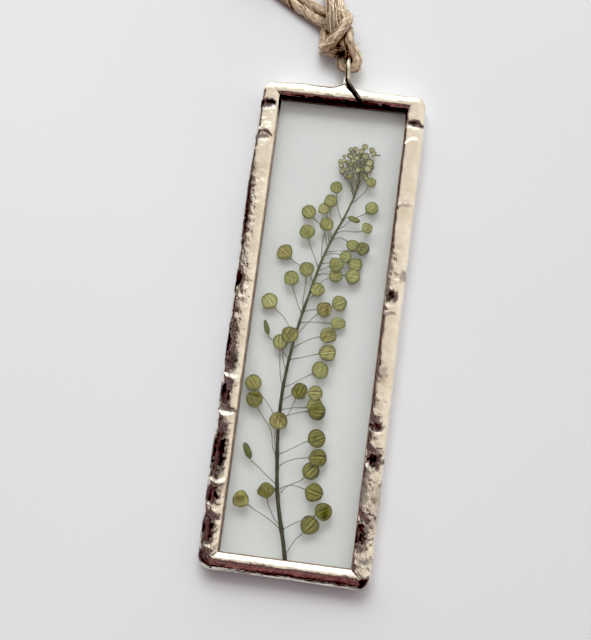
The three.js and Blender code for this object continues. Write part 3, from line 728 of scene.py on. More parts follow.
# How rough the face is at places along each side
ROUGH = {
    "left": [
        (-38, 0.9), (-33, 1.0), (-27, 1.3), (-25, 0.6), (-10, 0.7), (-7, 1.4), (0, 1.2), (5, 1.4),
        (9, 1.1), (22, 1.2), (25, 0.4), (28, 0.5), (30, 1.3), (33, 0.4), (38, 0.2),
    ],
    "right": [
        (-37, 1.6), (-28, 1.7), (-22, 1.5), (-18, 1.4), (-12, 1.0), (-8, 0.9), (-2, 0.45), (2, 0.5),
        (5, 1.2), (12, 1.4), (15, 0.6), (19, 0.3), (21, 0.7), (23, 0.2), (32, 0.2), (38, 0.3),
    ],
    "top": [(-12, 0.3), (-6, 0.6), (-3, 0.8), (4, 0.8), (6, 0.4), (12, 0.4)],
    "bottom": [(-12, 1.4), (-8, 1.2), (-2, 1.0), (4, 0.8), (8, 1.2), (12, 1.6)],
}
# The colour of the dark patches, partly oxide and partly painted dark reflection of the room, how strongly
# their painted reflected streaks show, and the most that the bottom bar's outer slope darkens with oxide
# and painted dark reflection
OXIDE_AND_REFLECTION_COLOUR = (0.056, 0.04, 0.044)
REFLECTED_STREAK_DEPTH = 2.6
BOTTOM_OXIDE_AND_REFLECTION = 0.6
# Dark patches, partly oxide and partly painted dark reflection of the room: place along the side, half
# length, place across the bead, half width, how dark
PATCHES = {
    "left": [
        (34.5, 0.7, -0.45, 1.2, 0.98), (29.0, 0.35, -0.3, 0.9, 0.75), (17.0, 7.0, 0.25, 0.5, 0.98),
        (5.6, 1.8, 0.2, 0.8, 0.98), (-4.0, 3.6, 0.45, 0.7, 0.98), (-6.8, 2.2, -0.5, 0.8, 0.94),
        (-12.2, 2.0, -0.1, 0.95, 0.98), (-14.7, 0.25, -0.8, 1.6, 0.8), (-21.3, 4.1, -0.4, 1.15, 0.98),
        (-27.6, 1.5, -0.2, 1.1, 0.98), (-32.8, 2.2, -0.3, 1.05, 0.98), (-36.9, 1.3, -0.2, 0.8, 0.96),
    ],
    "right": [
        (33.7, 0.5, -0.7, 1.0, 0.98), (20.5, 0.3, -0.9, 0.8, 0.4), (9.3, 0.9, 0.15, 0.45, 0.55),
        (9.5, 4.5, -1.9, 0.6, 0.5), (5.9, 1.0, -1.1, 0.9, 0.95), (3.2, 0.3, -1.3, 0.8, 0.7),
        (-6.2, 1.4, -1.3, 0.8, 0.35), (-14.4, 0.8, -1.2, 0.95, 0.99), (-19.5, 1.3, -0.8, 1.1, 0.98),
        (-24.0, 3.2, -1.6, 0.7, 0.55), (-25.0, 2.6, 0.2, 0.4, 0.4), (-30.8, 2.4, -1.4, 0.95, 0.98),
        (-34.6, 0.5, -0.6, 1.0, 0.5), (-26.5, 4.5, 0.0, 0.8, 0.3),
    ],
    "top": [
        (0, 11.0, -1.86, 0.26, 0.98), (3.4, 1.2, -1.4, 0.35, 0.6), (-2.4, 0.7, -1.35, 0.35, 0.6),
    ],
    "bottom": [
        (12.0, 0.7, -0.2, 0.7, 0.98), (-2.0, 1.8, 0.16, 0.14, 0.98), (5.0, 3.6, 0.2, 0.1, 0.98),
        (-6.0, 3.0, 0.2, 0.08, 0.98), (4.0, 6.0, -0.75, 0.14, 0.4), (-8.0, 3.0, -0.6, 0.2, 0.5),
        (-11.8, 1.0, 0.0, 0.6, 0.9),
    ],
}

# Lumps and dents of the hand-run solder: place along the side, half length, height, place across the bead
# from -2 (inside) to 0.6 (outside), half width. Those without the last two go right across
SOLDER_LUMPS = {
    "left": [
        (34.5, 0.5, -0.3, -0.75, 0.9), (28.9, 0.5, -0.12, -0.6, 0.8), (5.6, 0.9, -0.1, 0.1, 0.6),
        (-3.8, 1.3, -0.1, 0.2, 0.7), (-14.75, 0.3, -0.14, -1.0, 1.6), (-16.4, 1.0, 0.08, -0.6, 0.9),
        (-30.2, 0.5, 0.07, -0.7, 0.9),
    ],
    "right": [
        (33.7, 0.5, -0.28, -0.6, 0.9), (20.8, 0.35, -0.08, -0.8, 0.9), (9.5, 0.5, -0.06, 0.1, 0.4),
        (6.0, 0.6, -0.12, -1.3, 0.5), (3.6, 0.35, -0.1, -1.5, 0.7), (-14.4, 0.6, -0.2, -1.2, 0.5),
        (-19.3, 1.0, -0.16, -0.9, 0.7), (-31.0, 1.8, -0.12, -1.2, 0.7),
    ],
    "top": [
        (-7, 2.5, 0.05, None, None), (0, 1.3, 0.02, None, None), (4.2, 1.6, 0.08, None, None),
    ],
    "bottom": [
        (-6.8, 0.8, 0.08, 0.2, 0.5), (8.6, 0.8, -0.1, -0.2, 0.5), (12, 0.8, -0.12, 0.0, 0.6),
    ],
}
# The bulge of the top bar round the foot of the wire: half its length, and how far it stands out
FOOT_SPREAD = 1.3
FOOT_OUT = 0.55
# Joints of the solder run: place along the side, 1 if the step rises towards the far end and -1 if the
# other way, length of the rise, height, length over which it fades
SOLDER_STEPS = {
    "left": [
        (-9.6, -1, 0.7, 0.2, 2.2), (-15.2, -1, 0.9, 0.26, 2.4), (-25.7, -1, 0.8, 0.26, 2.2),
        (-30.0, -1, 0.8, 0.12, 1.4), (29.9, 1, 0.5, 0.16, 2.5), (-35.4, -1, 0.6, 0.16, 1.5),
    ],
    "right": [
        (31.2, -1, 0.5, 0.1, 2.5), (20.4, 1, 0.4, 0.1, 1.2), (-15.2, -1, 0.5, 0.14, 1.6),
        (-28.4, 1, 0.5, 0.1, 1.6),
    ],
    "top": [],
    "bottom": [],
}


def border_point(turn, long, fraction, corner, outside, growth=CORNER_GROWTH):
    """The point of a side (or of the corner after it) that lies this far outside the glass's edge."""
    radius = max(GLASS_CORNER_R + outside * (growth if outside > 0 else 1), 0.15)
    straight = (GLASS_H if long else GLASS_W) / 2 + outside - radius
    angle = corner * math.pi / 2
    along = -straight + 2 * straight * fraction + radius * math.sin(angle)
    across = (GLASS_W if long else GLASS_H) / 2 + outside - radius + radius * math.cos(angle)
    heading = turn * math.pi / 2
    return (across * math.cos(heading) - along * math.sin(heading),
            across * math.sin(heading) + along * math.cos(heading))


def lump_at(side, along, across):
    height = 0
    for at, spread, rise, lean, wide in SOLDER_LUMPS[side]:
        height += rise * bell(along, at, spread) * (bell(across, lean, wide) if wide else 1)
    return height


def step_at(side, along):
    """Joints of the solder run: a sharp rise towards one end of the side that then fades away."""
    height = 0
    for at, way, ramp, step, fade in SOLDER_STEPS[side]:
        past = (along - at) * way
        height += step * ease(clamp(past / ramp + 0.5)) * math.exp(-max(past, 0) / fade)
    return height


def side_shape(side, corner, x, y):
    """What the tables say here: the two falls, roughness, reach, step, and where the two falls start."""
    total = np.zeros(7)
    for part, share in ((side, 1 - corner), (SIDES[(SIDES.index(side) + 1) % 4], corner)):
        along = y if part in ("left", "right") else x
        values = [value_at(table[part], along) for table in (FALL_OUT, FALL_IN, ROUGH, REACH)]
        total += share * np.array(values + [step_at(part, along), OUT_START[part], IN_START[part]])
    return total.tolist()


def oxide_and_reflection_at(side, along, outside, grain, streak):
    """How dark the patches of oxide and painted dark reflection make this point, from 0 to 1."""
    dark = 0
    for at, spread, lean, wide, darkest in PATCHES[side]:
        reach = ((along - at) / spread) ** 2 + ((outside - lean) / wide) ** 2
        edge = 1.1 + 0.35 / spread ** 0.5 - reach + 0.9 * grain + 0.5 * streak
        dark = max(dark, darkest * clamp(edge * 1.3))
    # The bottom bar's outer slope darkens with oxide and painted dark reflection
    if side == "bottom" and outside > -0.85:
        dark = max(dark, BOTTOM_OXIDE_AND_REFLECTION * clamp(0.25 - 1.6 * streak))
    return dark


def bead_point(side, straight, along, outside, z, push, where, shape):
    """Where a point of the plain section goes: how far outside the glass, and how high."""
    fall_out, fall_in, rough, reach_out, joint, out_start, in_start = shape
    push_out, push_up = push
    crown = clamp((z - OVERSIDE) / 0.3) if outside > -2.04 else 0
    flank = clamp((z - 0.6) / 1.2) * clamp((outside + 0.4) / 0.7)
    top = clamp((z - 2.6) / 1.2) * clamp((outside + 2.05) / 0.3)
    ripple = (0.03 * noise.noise(where * 0.42 + Vector((3, 7, 1)))
              + rough * 0.045 * noise.noise(where * 0.95 + Vector((9, 2, 5)))
              + rough * 0.024 * noise.noise(where * 2.1 + Vector((1, 4, 8)))) * max(top, flank)
    sink = 1 - fall_in * clamp((in_start - outside) / (in_start + 1.95))
    height = z if z < OVERSIDE else OVERSIDE + (z - OVERSIDE) * sink
    height += crown * (straight * lump_at(side, along, outside) + joint) * sink
    height -= top * fall_out * clamp((outside - out_start) / (0.5 - out_start)) ** 1.15
    out = outside + reach_out * clamp((outside + 1.4) / 1.7)
    if side == "top":
        out += flank * straight * FOOT_OUT * bell(along, 0, FOOT_SPREAD)
    return out + push_out * ripple, max(height + push_up * ripple, 0)


def make_solder(material):
    section = smooth_line([(x, 0, z) for x, z in SECTION], 0.11)[:, [0, 2]]
    slope = np.gradient(section, axis=0)
    slope /= np.linalg.norm(slope, axis=1)[:, None]
    normals = np.stack([slope[:, 1], -slope[:, 0]], axis=1)
    stations = []
    for turn, side in enumerate(SIDES):
        long = side in ("left", "right")
        steps = LONG_STEPS if long else SHORT_STEPS
        stations += [(turn, side, long, i / steps, 0) for i in range(steps)]
        stations += [(turn, side, long, 1, i / CORNER_STEPS) for i in range(CORNER_STEPS)]
    verts = []
    tints = []
    for turn, side, long, fraction, corner in stations:
        shape = side_shape(side, corner, *border_point(turn, long, fraction, corner, -0.8))
        rough = shape[2]
        for (outside, z), push in zip(section, normals):
            x, y = border_point(turn, long, fraction, corner, outside)
            along = y if long else x
            where = Vector((x, y, z * 1.3))
            out, height = bead_point(side, 0 if corner else 1, along, outside, z, push, where, shape)
            verts.append((*border_point(turn, long, fraction, corner, out), height))
            # Painted reflection: streaks, with a lighter band along the crown's outer part and a darker one
            # further in, vary the dark patches
            streak = noise.noise(Vector((outside * 3.4, along * 0.32, 7))) + 0.5 * noise.noise(where * 1.9)
            streak += 0.5 * bell(outside, -0.35, 0.22) - 0.35 * bell(outside, -1.0, 0.3)
            grain = noise.noise(where * 2.1 + Vector((1, 4, 8)))
            dark = oxide_and_reflection_at(side, along, outside, grain, streak) if z > 2.2 else 0
            depth = 1 + REFLECTED_STREAK_DEPTH * min(max(streak, -0.35), 1.1)
            tints.append((*(1 - dark * (1 - shade * depth) for shade in OXIDE_AND_REFLECTION_COLOUR), min(rough / 1.7, 1)))
        # The two edges of the channel that the glass and foil sit in
        for z in (OVERSIDE, UNDERSIDE):
            verts.append((*border_point(turn, long, fraction, corner, CHANNEL, 1), z))
            tints.append((1, 1, 1, 0.3))
    around = len(section) + 2
    faces = [tuple(reversed(f)) for f in grid_faces(len(stations), around, ring=True)]
    bead = make_mesh("solder_bead", verts, faces, material, np.array(tints, float))
    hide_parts("solder_frame")


# Wire

WIRE_ROUTE = [
    (2.55, 36.45, 4.14), (1.9, 37.3, 4.16), (1.2, 38.15, 4.16), (0.5, 39.0, 4.12), (0.2, 40.0, 4.12),
    (0.05, 41.4, 4.14), (-0.05, 42.7, 3.85), (-0.1, 43.65, 3.1), (-0.12, 43.95, 2.35), (-0.15, 43.65, 1.55),
    (-0.2, 42.6, 0.95), (-0.25, 41.2, 0.85), (-0.28, 39.9, 1.05), (-0.28, 38.45, 1.3),
]


def make_wire(material):
    line = smooth_line(WIRE_ROUTE, 0.12)

    def shape(angles, distance, share):
        size = WIRE_D / 2 * (1 + 0.02 * math.sin(distance * 2.2) + 0.015 * math.sin(distance * 5.3))
        return circle(size, angles)

    # Darker where it lies across the top bar, with a painted dark reflection as a streak up the left of the
    # front leg
    bright = 0.16 + 0.84 * np.clip((line[:, 1] - 38.9) / 1.2, 0, 1)
    streak = bells(np.arange(20) * 2 * math.pi / 20, 1.3 * math.pi, 0.5)
    leg = np.clip((line[:, 1] - 39.0) / 0.5, 0, 1) * np.clip((43.3 - line[:, 1]) / 0.4, 0, 1)
    shade = bright[:, None] * (1 - 0.85 * (leg * (line[:, 2] > 3))[:, None] * streak)
    parts = Parts()
    parts.add_rows(swept(line, shape, 20), shade[..., None])
    wire = parts.make("hanging_wire", material)
    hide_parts("wire_loop")


# Sprig

STEM_LINE = [
    (0.12, -36.6), (-0.45, -34), (-1.55, -30), (-2.5, -26), (-3.05, -22), (-3.5, -18), (-3.72, -14),
    (-3.7, -10), (-3.4, -6), (-2.9, -2), (-2.2, 2), (-1.32, 6), (-0.4, 10), (0.85, 14), (2.45, 18),
    (3.42, 20.9),
]
STEM_WIDTHS = [(-36.6, 0.66), (-20, 0.58), (-8, 0.5), (4, 0.42), (16, 0.36), (27, 0.26)]
HEAD_LINE = [(3.46, 21.05), (3.85, 23), (3.95, 24.6), (3.85, 26), (3.7, 27.2)]


def pod(x, y, across, start, *via, **more):
    """A pod with its middle at x, y, its stalk leaving the stem at height start and bending through via."""
    return {"at": (x, y), "across": across, "from": start, "via": via, **more}


# The pods on their stalks. slim: width as a share of length; layer and stalk: the depths of the pod and of
# its stalk; look: one of POD_LOOKS; fold: the direction of the side whose edge is drawn dark, where the
# real pod is folded over
LEFT_PODS = [
    pod(0.55, 22.35, 1.85, 17.3, (1.7, 17.95), (1.25, 18.9), (0.9, 20.2)),
    pod(-0.05, 20.15, 2.0, 14.2, (0.55, 14.8), (0.42, 16.0), (0.35, 17.4), (0.15, 18.5), layer="mid"),
    pod(-0.95, 18.85, 1.75, 13.5, (0.3, 14.3), (0.1, 15.8), (-0.2, 17.4), layer="back", look="pale"),
    pod(-3.25, 18.05, 2.2, 12.8, (0.0, 13.6), (-0.25, 14.9), (-1.1, 16.1), (-2.1, 16.9), layer="back"),
    pod(-0.2, 16.3, 2.15, 10.6, (-0.45, 12.0), (-0.5, 13.8)),
    pod(-3.1, 14.75, 2.3, 9.4, (-1.05, 10.1), (-1.6, 11.2), (-2.3, 12.5)),
    pod(-6.15, 11.15, 2.4, 6.9, (-1.6, 7.7), (-2.3, 8.6), (-3.3, 9.2), (-4.6, 9.9), layer="back",
        look="rusty"),
    pod(-2.4, 8.75, 2.25, 2.5, (-2.35, 3.6), (-2.3, 5.2), (-2.3, 7.0)),
    pod(-4.6, 7.1, 2.3, 1.9, (-2.9, 2.7), (-3.4, 3.9), (-4.0, 5.2)),
    pod(-7.55, 3.15, 2.45, -2.2, (-3.6, -1.2), (-4.1, -0.3), (-5.0, 0.9), (-6.2, 1.85), layer="back",
        look="pale"),
    pod(-7.47, -1.0, 2.4, -5.4, (-3.95, -5.0), (-4.6, -4.3), (-5.6, -3.4), (-6.6, -2.7), (-6.95, -2.4),
        slim=0.32, layer="back", look="green"),
    pod(-3.7, -1.8, 2.5, -7.4, (-4.0, -6.4), (-4.4, -4.9), (-4.3, -3.6), look="brown"),
    pod(-5.0, -3.05, 2.4, -9.8, (-4.25, -8.6), (-4.65, -6.4), (-4.85, -4.8), layer="mid"),
    pod(-8.35, -9.85, 2.5, -15.7, (-4.35, -14.8), (-5.0, -13.7), (-6.0, -12.5), (-6.9, -11.6), layer="back",
        look="rusty"),
    pod(-7.8, -12.4, 2.5, -20.9, (-4.1, -19.2), (-4.4, -17.6), (-5.0, -16.3), (-6.0, -15.1), (-6.8, -14.1),
        look="deep"),
    pod(-3.7, -15.25, 2.65, -19.6, (-3.87, -18.7), (-3.95, -17.6), look="brown"),
    pod(-7.82, -20.35, 2.5, -24.9, (-3.9, -24.1), (-5.2, -23.1), (-6.5, -22.1), (-7.1, -21.75), slim=0.42,
        look="green"),
    pod(-4.2, -25.95, 2.4, -31.1, (-2.4, -30.0), (-3.1, -28.9), (-3.7, -27.8), look="deep"),
    pod(-7.8, -27.8, 2.5, -31.6, (-2.5, -30.65), (-4.0, -29.8), (-5.5, -29.1), look="rusty"),
]
RIGHT_PODS = [
    pod(5.95, 23.8, 1.5, 20.2, (4.1, 20.9), (4.9, 21.9), (5.45, 22.9)),
    pod(6.5, 19.8, 2.0, 15.8, (2.4, 16.3), (3.1, 17.1), (4.3, 18.0), (5.5, 18.75), layer="back"),
    pod(3.95, 17.55, 1.95, 17.5, (2.9, 17.85), slim=0.45, look="dark"),
    pod(6.15, 16.4, 1.65, 15.0, (2.4, 15.5), (4.0, 15.55), (5.2, 15.75)),
    pod(4.2, 13.5, 1.9, 14.1, (1.9, 14.45), (2.7, 14.35), (3.2, 14.1), layer="back"),
    pod(5.9, 13.05, 2.1, 11.9, (1.6, 12.15), (2.9, 12.35), (4.4, 12.65), look="dark"),
    pod(3.35, 11.5, 1.85, 11.4, (1.0, 11.75), (1.8, 11.85), (2.3, 11.8), layer="mid"),
    pod(5.0, 10.5, 2.1, 10.0, (0.6, 10.25), (2.0, 10.6), (3.6, 10.7), layer="back"),
    pod(2.1, 10.05, 2.2, 8.9, (0.1, 9.1), (0.7, 9.45)),
    pod(4.85, 8.55, 2.3, 8.1, (0.2, 8.45), (2.0, 8.5), (3.3, 8.6), layer="mid", stalk="back"),
    pod(2.2, 8.35, 2.1, 6.2, (-0.5, 6.6), (0.2, 7.2), (0.9, 7.7), layer="mid"),
    pod(-0.3, 5.75, 2.15, 3.7, (-1.15, 4.4)),
    pod(3.3, 4.1, 2.3, 2.1, (-0.9, 2.55), (0.6, 2.85), (2.1, 3.4), layer="back"),
    pod(1.15, 2.8, 2.3, -1.7, (-1.8, -0.5), (-1.0, 0.6), (-0.1, 1.7), look="brown"),
    pod(3.5, 0.95, 2.3, 0.3, (-1.2, 0.6), (0.4, 0.75), (2.0, 0.8), slim=0.78, layer="back"),
    pod(2.2, -1.15, 2.55, -3.8, (-2.3, -3.3), (-1.2, -2.55), (0.0, -1.9), look="ribbed"),
    pod(2.45, -3.9, 2.6, -5.6, (-2.3, -5.35), (-0.8, -4.85), (0.8, -4.3), layer="mid", look="ribbed"),
    pod(1.65, -6.7, 2.5, -10.0, (-2.4, -9.4), (-1.0, -8.4), (0.2, -7.65)),
    pod(-1.05, -10.3, 2.45, -15.2, (-2.65, -14.5), (-2.1, -13.4), (-1.75, -12.3), stalk="mid", look="ripe"),
    pod(1.35, -10.3, 2.25, -12.1, (-2.8, -11.4), (-2.2, -10.95), (-0.8, -10.5), layer="mid", stalk="back",
        look="ribbed"),
    pod(1.5, -12.2, 2.4, -13.5, (-2.6, -13.15), (-1.2, -12.85), (-0.3, -12.75), layer="back",
        look="ribbed"),
    pod(2.0, -13.1, 2.6, -14.8, (-2.4, -14.2), (-0.9, -13.6), (0.1, -13.3), stalk="back", look="ripe",
        fold=(0.85, -0.5)),
    pod(2.45, -17.2, 2.7, -20.4, (-1.9, -19.7), (-0.4, -18.7), (0.8, -17.95), look="ripe"),
    pod(3.0, -20.1, 2.65, -22.3, (-2.0, -21.5), (-0.6, -20.75), (1.1, -20.35), look="ripe"),
    pod(2.2, -22.2, 2.6, -26.5, (-1.5, -25.4), (-0.6, -24.6), (0.4, -24.1), (1.05, -23.6), layer="back",
        look="ripe"),
    pod(3.1, -25.4, 2.7, -25.7, (-1.6, -25.1), (-0.5, -24.7), (0.6, -24.8), (1.4, -25.0), look="ripe"),
    pod(4.9, -28.05, 2.65, -31.6, (0.3, -30.6), (1.8, -29.7), (3.2, -29.05), look="ripe"),
    pod(3.05, -30.35, 2.75, -35.2, (0.55, -34.0), (1.2, -32.7), (2.0, -31.85), layer="mid", look="ripe"),
]

# sRGB colours of a pod's middle, its rim, the light ridges and the dark grooves, how strong the ribs are,
# and for some the colour of a brownish patch in the middle
POD_LOOKS = {
    "plain": ((166, 169, 108), (74, 86, 38), (204, 206, 138), (86, 92, 42), 0.8),
    "pale": ((186, 187, 128), (88, 98, 46), (212, 214, 154), (112, 118, 60), 0.65),
    "rusty": ((164, 160, 92), (72, 84, 34), (192, 192, 118), (84, 80, 34), 0.8, (146, 108, 70)),
    "deep": ((130, 128, 60), (62, 70, 26), (172, 174, 90), (62, 62, 22), 0.7),
    "brown": ((174, 170, 100), (64, 66, 28), (206, 200, 130), (72, 62, 28), 1.0, (150, 130, 78)),
    "green": ((108, 120, 56), (44, 56, 20), (148, 160, 84), (40, 50, 18), 0.8),
    "dark": ((142, 146, 88), (44, 50, 24), (172, 178, 116), (46, 50, 24), 0.8),
    "ribbed": ((182, 180, 114), (66, 74, 32), (216, 212, 140), (66, 70, 26), 1.05),
    "bud": ((206, 206, 164), (62, 64, 30), (224, 222, 186), (84, 86, 46), 0.6),
    "ripe": ((136, 136, 58), (56, 62, 20), (196, 196, 98), (48, 50, 12), 1.1),
}
STALK_TINT = linear(118, 121, 100)
STEM_TINT = np.array(linear(46, 48, 26))
STEM_TINT_HIGH = np.array(linear(84, 90, 58))


def value_at(table, where):
    return float(np.interp(where, [row[0] for row in table], [row[1] for row in table]))


def line_at(points, height):
    return float(np.interp(height, [p[1] for p in points], [p[0] for p in points]))


def make_stem(material):
    line = smooth_line([(x, y, STEM_Z) for x, y in STEM_LINE + HEAD_LINE[:1]], 0.3)
    joints = [pod["from"] for pod in LEFT_PODS + RIGHT_PODS]

    def shape(angles, distance, share):
        height = line[round(share * (len(line) - 1))][1]
        swell = 0.12 * sum(bell(height, joint, 0.35) for joint in joints)
        ridges = 0.07 * np.cos(5 * angles + 0.3 * math.sin(distance * 0.35))
        uneven = 0.94 + ridges + min(swell, 0.2) + 0.03 * math.sin(distance * 2.7)
        return circle(value_at(STEM_WIDTHS, height) / 2 * uneven, angles, 0.72)

    rows = swept(line, shape, 20)
    count, around = rows.shape[:2]
    angle = np.arange(around)[None, :] * 2 * math.pi / around
    along = np.linspace(0, 60, count)[:, None]
    shade = 1 + 0.35 * np.cos(5 * angle + 0.3 * np.sin(along * 0.35)) + 0.12 * wave(along + 0 * angle, 3)
    high = np.clip((line[:, 1] + 12) / 22, 0, 1)[:, None, None]
    tint = STEM_TINT + (STEM_TINT_HIGH - STEM_TINT) * high
    parts = Parts()
    parts.add_rows(rows, tint * np.clip(shade, 0.4, 1.8)[..., None])
    stem = parts.make("sprig_stem", material)
    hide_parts("stem")


def add_pod(parts, pod, base, seed, bud=False):
    """One stalk and its flat round pod: lens-shaped, ribbed lengthwise, notched at the tip."""
    look = POD_LOOKS[pod.get("look", "plain")]
    middle, rim, ridge, groove = (np.array(linear(*colour)) for colour in look[:4])
    ribbed = look[4]
    layer = pod.get("layer", "front")
    radius = pod["across"] / 2 * (1 if bud else 1.045)
    centre = np.array([*pod["at"], LAYER_Z[layer]])
    stalk_z = LAYER_Z[pod.get("stalk", layer)]
    bends = [(*base, STEM_Z)] + [(x, y, stalk_z) for x, y in pod["via"]]
    axis = centre[:2] - np.array(bends[-1][:2])
    axis /= np.linalg.norm(axis)
    side = np.array([axis[1], -axis[0]])
    foot = centre - np.array([*axis, 0]) * radius * 0.9

    def shape(angles, distance, share):
        return circle((0.045 if bud else 0.055) + 0.045 * share ** 5 + 0.03 * (1 - share) ** 6, angles, 0.8)

    parts.add_rows(swept(smooth_line(bends + [tuple(foot)], 0.35), shape, 8), STALK_TINT)

    random = np.random.default_rng(seed)
    lengthways, sideways = (np.linspace(-1, 1, count) for count in ((13, 12) if bud else (27, 26)))
    grid_u, grid_v = np.meshgrid(lengthways, sideways, indexing="ij")
    eased = np.sin(grid_u * math.pi / 2)
    fan = np.sin(grid_v * math.pi / 2)
    # Outline: round, a little drawn out at the stalk, with a shallow notch at the tip
    half = np.sqrt(np.clip(1 - eased ** 2, 0, 1)) * pod.get("slim", 1)
    half = half * (1 + 0.05 * wave(eased * 2, seed, low=0.8, high=2.0))
    half = np.maximum(half * (1 - 0.3 * np.clip((-eased - 0.45) / 0.55, 0, 1) ** 2), 0.05)
    notch = np.clip(eased, 0, 1) ** 6 * bells(grid_v, 0, 0.5) * 0.14
    lengthwise = eased - notch + 0.02 * wave(grid_v * 2 + eased, seed + 1, low=0.8, high=2.0)
    plane = centre[:2] + radius * (lengthwise[..., None] * axis + (fan * half)[..., None] * side)
    # Height of the faces: full beside the middle seam, with a flat thin rim and ribs fanning from the stalk
    edge = np.clip(1 - np.sqrt(np.clip(eased ** 2 + fan ** 2 * (1 - eased ** 2), 0, 1)), 0, 1)
    body = np.clip(edge / 0.32, 0, 1) ** 0.8
    fade = np.clip(edge / 0.15, 0, 1) * (1 - 0.4 * np.clip(-eased, 0, 1))
    seam = bells(fan, 0, 0.075) * fade
    grooves = bells(np.abs(fan), 0.18, 0.075) * 0.9
    for rib in range(3):
        for sign in (-1, 1):
            where = sign * (0.34 + 0.22 * rib + random.uniform(-0.05, 0.05))
            strength = random.uniform(0.4, 1.0)
            bend = where * (1 + 0.1 * np.sin(eased * 2.2 + random.uniform(0, 3)))
            grooves = grooves + strength * bells(fan, bend, 0.062)
    grooves = np.clip(grooves * fade, 0, 1.4)
    relief = 1 - 0.3 * ribbed * np.clip(grooves, 0, 1) + 0.25 * seam
    uneven = 1 + 0.14 * wave(eased * 3 + fan * 2.4, seed + 3)
    thickness = np.minimum(POD_HALF_T * (0.16 + 0.84 * body) * relief * uneven, 0.17)
    warp = 0 if bud else 0.012 * radius * wave(eased * 1.4 + fan * 1.1, seed + 4, low=0.5, high=1.4)
    upper, lower = (np.concatenate([plane, (centre[2] + warp + up * thickness)[..., None]], axis=2)
                    for up in (1, -1))
    # Colours
    blotch = 0.5 + 0.5 * np.clip(wave(eased * 2.2 + fan * 1.7, seed + 2) * 0.7, -1, 1)
    mottle = wave(eased * 5.2 + fan * 3.1, seed + 6, count=8) * wave(fan * 6 - eased * 2.3, seed + 7)
    tint = middle * ((0.8 + 0.36 * blotch) * (1 + 0.17 * np.clip(mottle, -1, 1)))[..., None]

    def shade_to(colour, share):
        return tint + (colour - tint) * share[..., None]

    if len(look) > 5:
        core = 0.75 * np.exp(-((eased - 0.1) ** 2 + (fan + 0.15) ** 2) / 0.12)
        tint = shade_to(np.array(linear(*look[5])), core)
    tint = shade_to(ridge, 0.75 * seam * ribbed)
    tint = shade_to(ridge, 0.4 * np.clip(wave(fan * 9 + eased, seed + 5), 0, 1) * fade * ribbed)
    tint = shade_to(groove, np.clip(grooves * ribbed, 0, 1))
    tint = shade_to(rim, 0.95 * np.clip(1 - edge / (0.6 if bud else 0.3), 0, 1) ** 1.1)
    if "fold" in pod:
        past = (plane - centre[:2]) @ np.array(pod["fold"]) / radius
        tint = tint * (1 - 0.75 * np.clip((past - 0.6) / 0.12, 0, 1))[..., None]
    add_sheet(parts, upper, lower, tint)


def add_sheet(parts, upper, lower, tint):
    """Closed skin from an upper and a lower grid that share no points."""
    count, across = upper.shape[:2]
    start = len(parts.verts)
    parts.verts += [tuple(p) for p in np.concatenate([upper.reshape(-1, 3), lower.reshape(-1, 3)])]
    parts.tints += [tuple(t) for t in tint.reshape(-1, 3)] * 2

    def quad(*corners):
        """A face by its corners: the side (0 upper, 1 lower), row and place of each."""
        parts.faces.append(tuple(start + (side * count + i) * across + j for side, i, j in corners))

    last_row = count - 1
    last = across - 1
    for i in range(last_row):
        for j in range(last):
            quad((0, i, j), (0, i, j + 1), (0, i + 1, j + 1), (0, i + 1, j))
            quad((1, i, j), (1, i + 1, j), (1, i + 1, j + 1), (1, i, j + 1))
    for i in range(last_row):
        quad((0, i, 0), (0, i + 1, 0), (1, i + 1, 0), (1, i, 0))
        quad((0, i + 1, last), (0, i, last), (1, i, last), (1, i + 1, last))
    for j in range(last):
        quad((0, 0, j + 1), (0, 0, j), (1, 0, j), (1, 0, j + 1))
        quad((0, last_row, j), (0, last_row, j + 1), (1, last_row, j + 1), (1, last_row, j))


def make_pods(material):
    for side, side_name, pods in ((-1, "left", LEFT_PODS), (1, "right", RIGHT_PODS)):
        for i, pod in enumerate(pods):
            parts = Parts()
            base = (line_at(STEM_LINE, pod["from"]) + side * 0.1, pod["from"])
            add_pod(parts, pod, base, 100 * (side + 2) + i)
            piece = parts.make(f"seed_pod_{side_name}_{i + 1:02d}", material)
            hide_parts(f"pod_{side_name}_{i + 1:02d}")


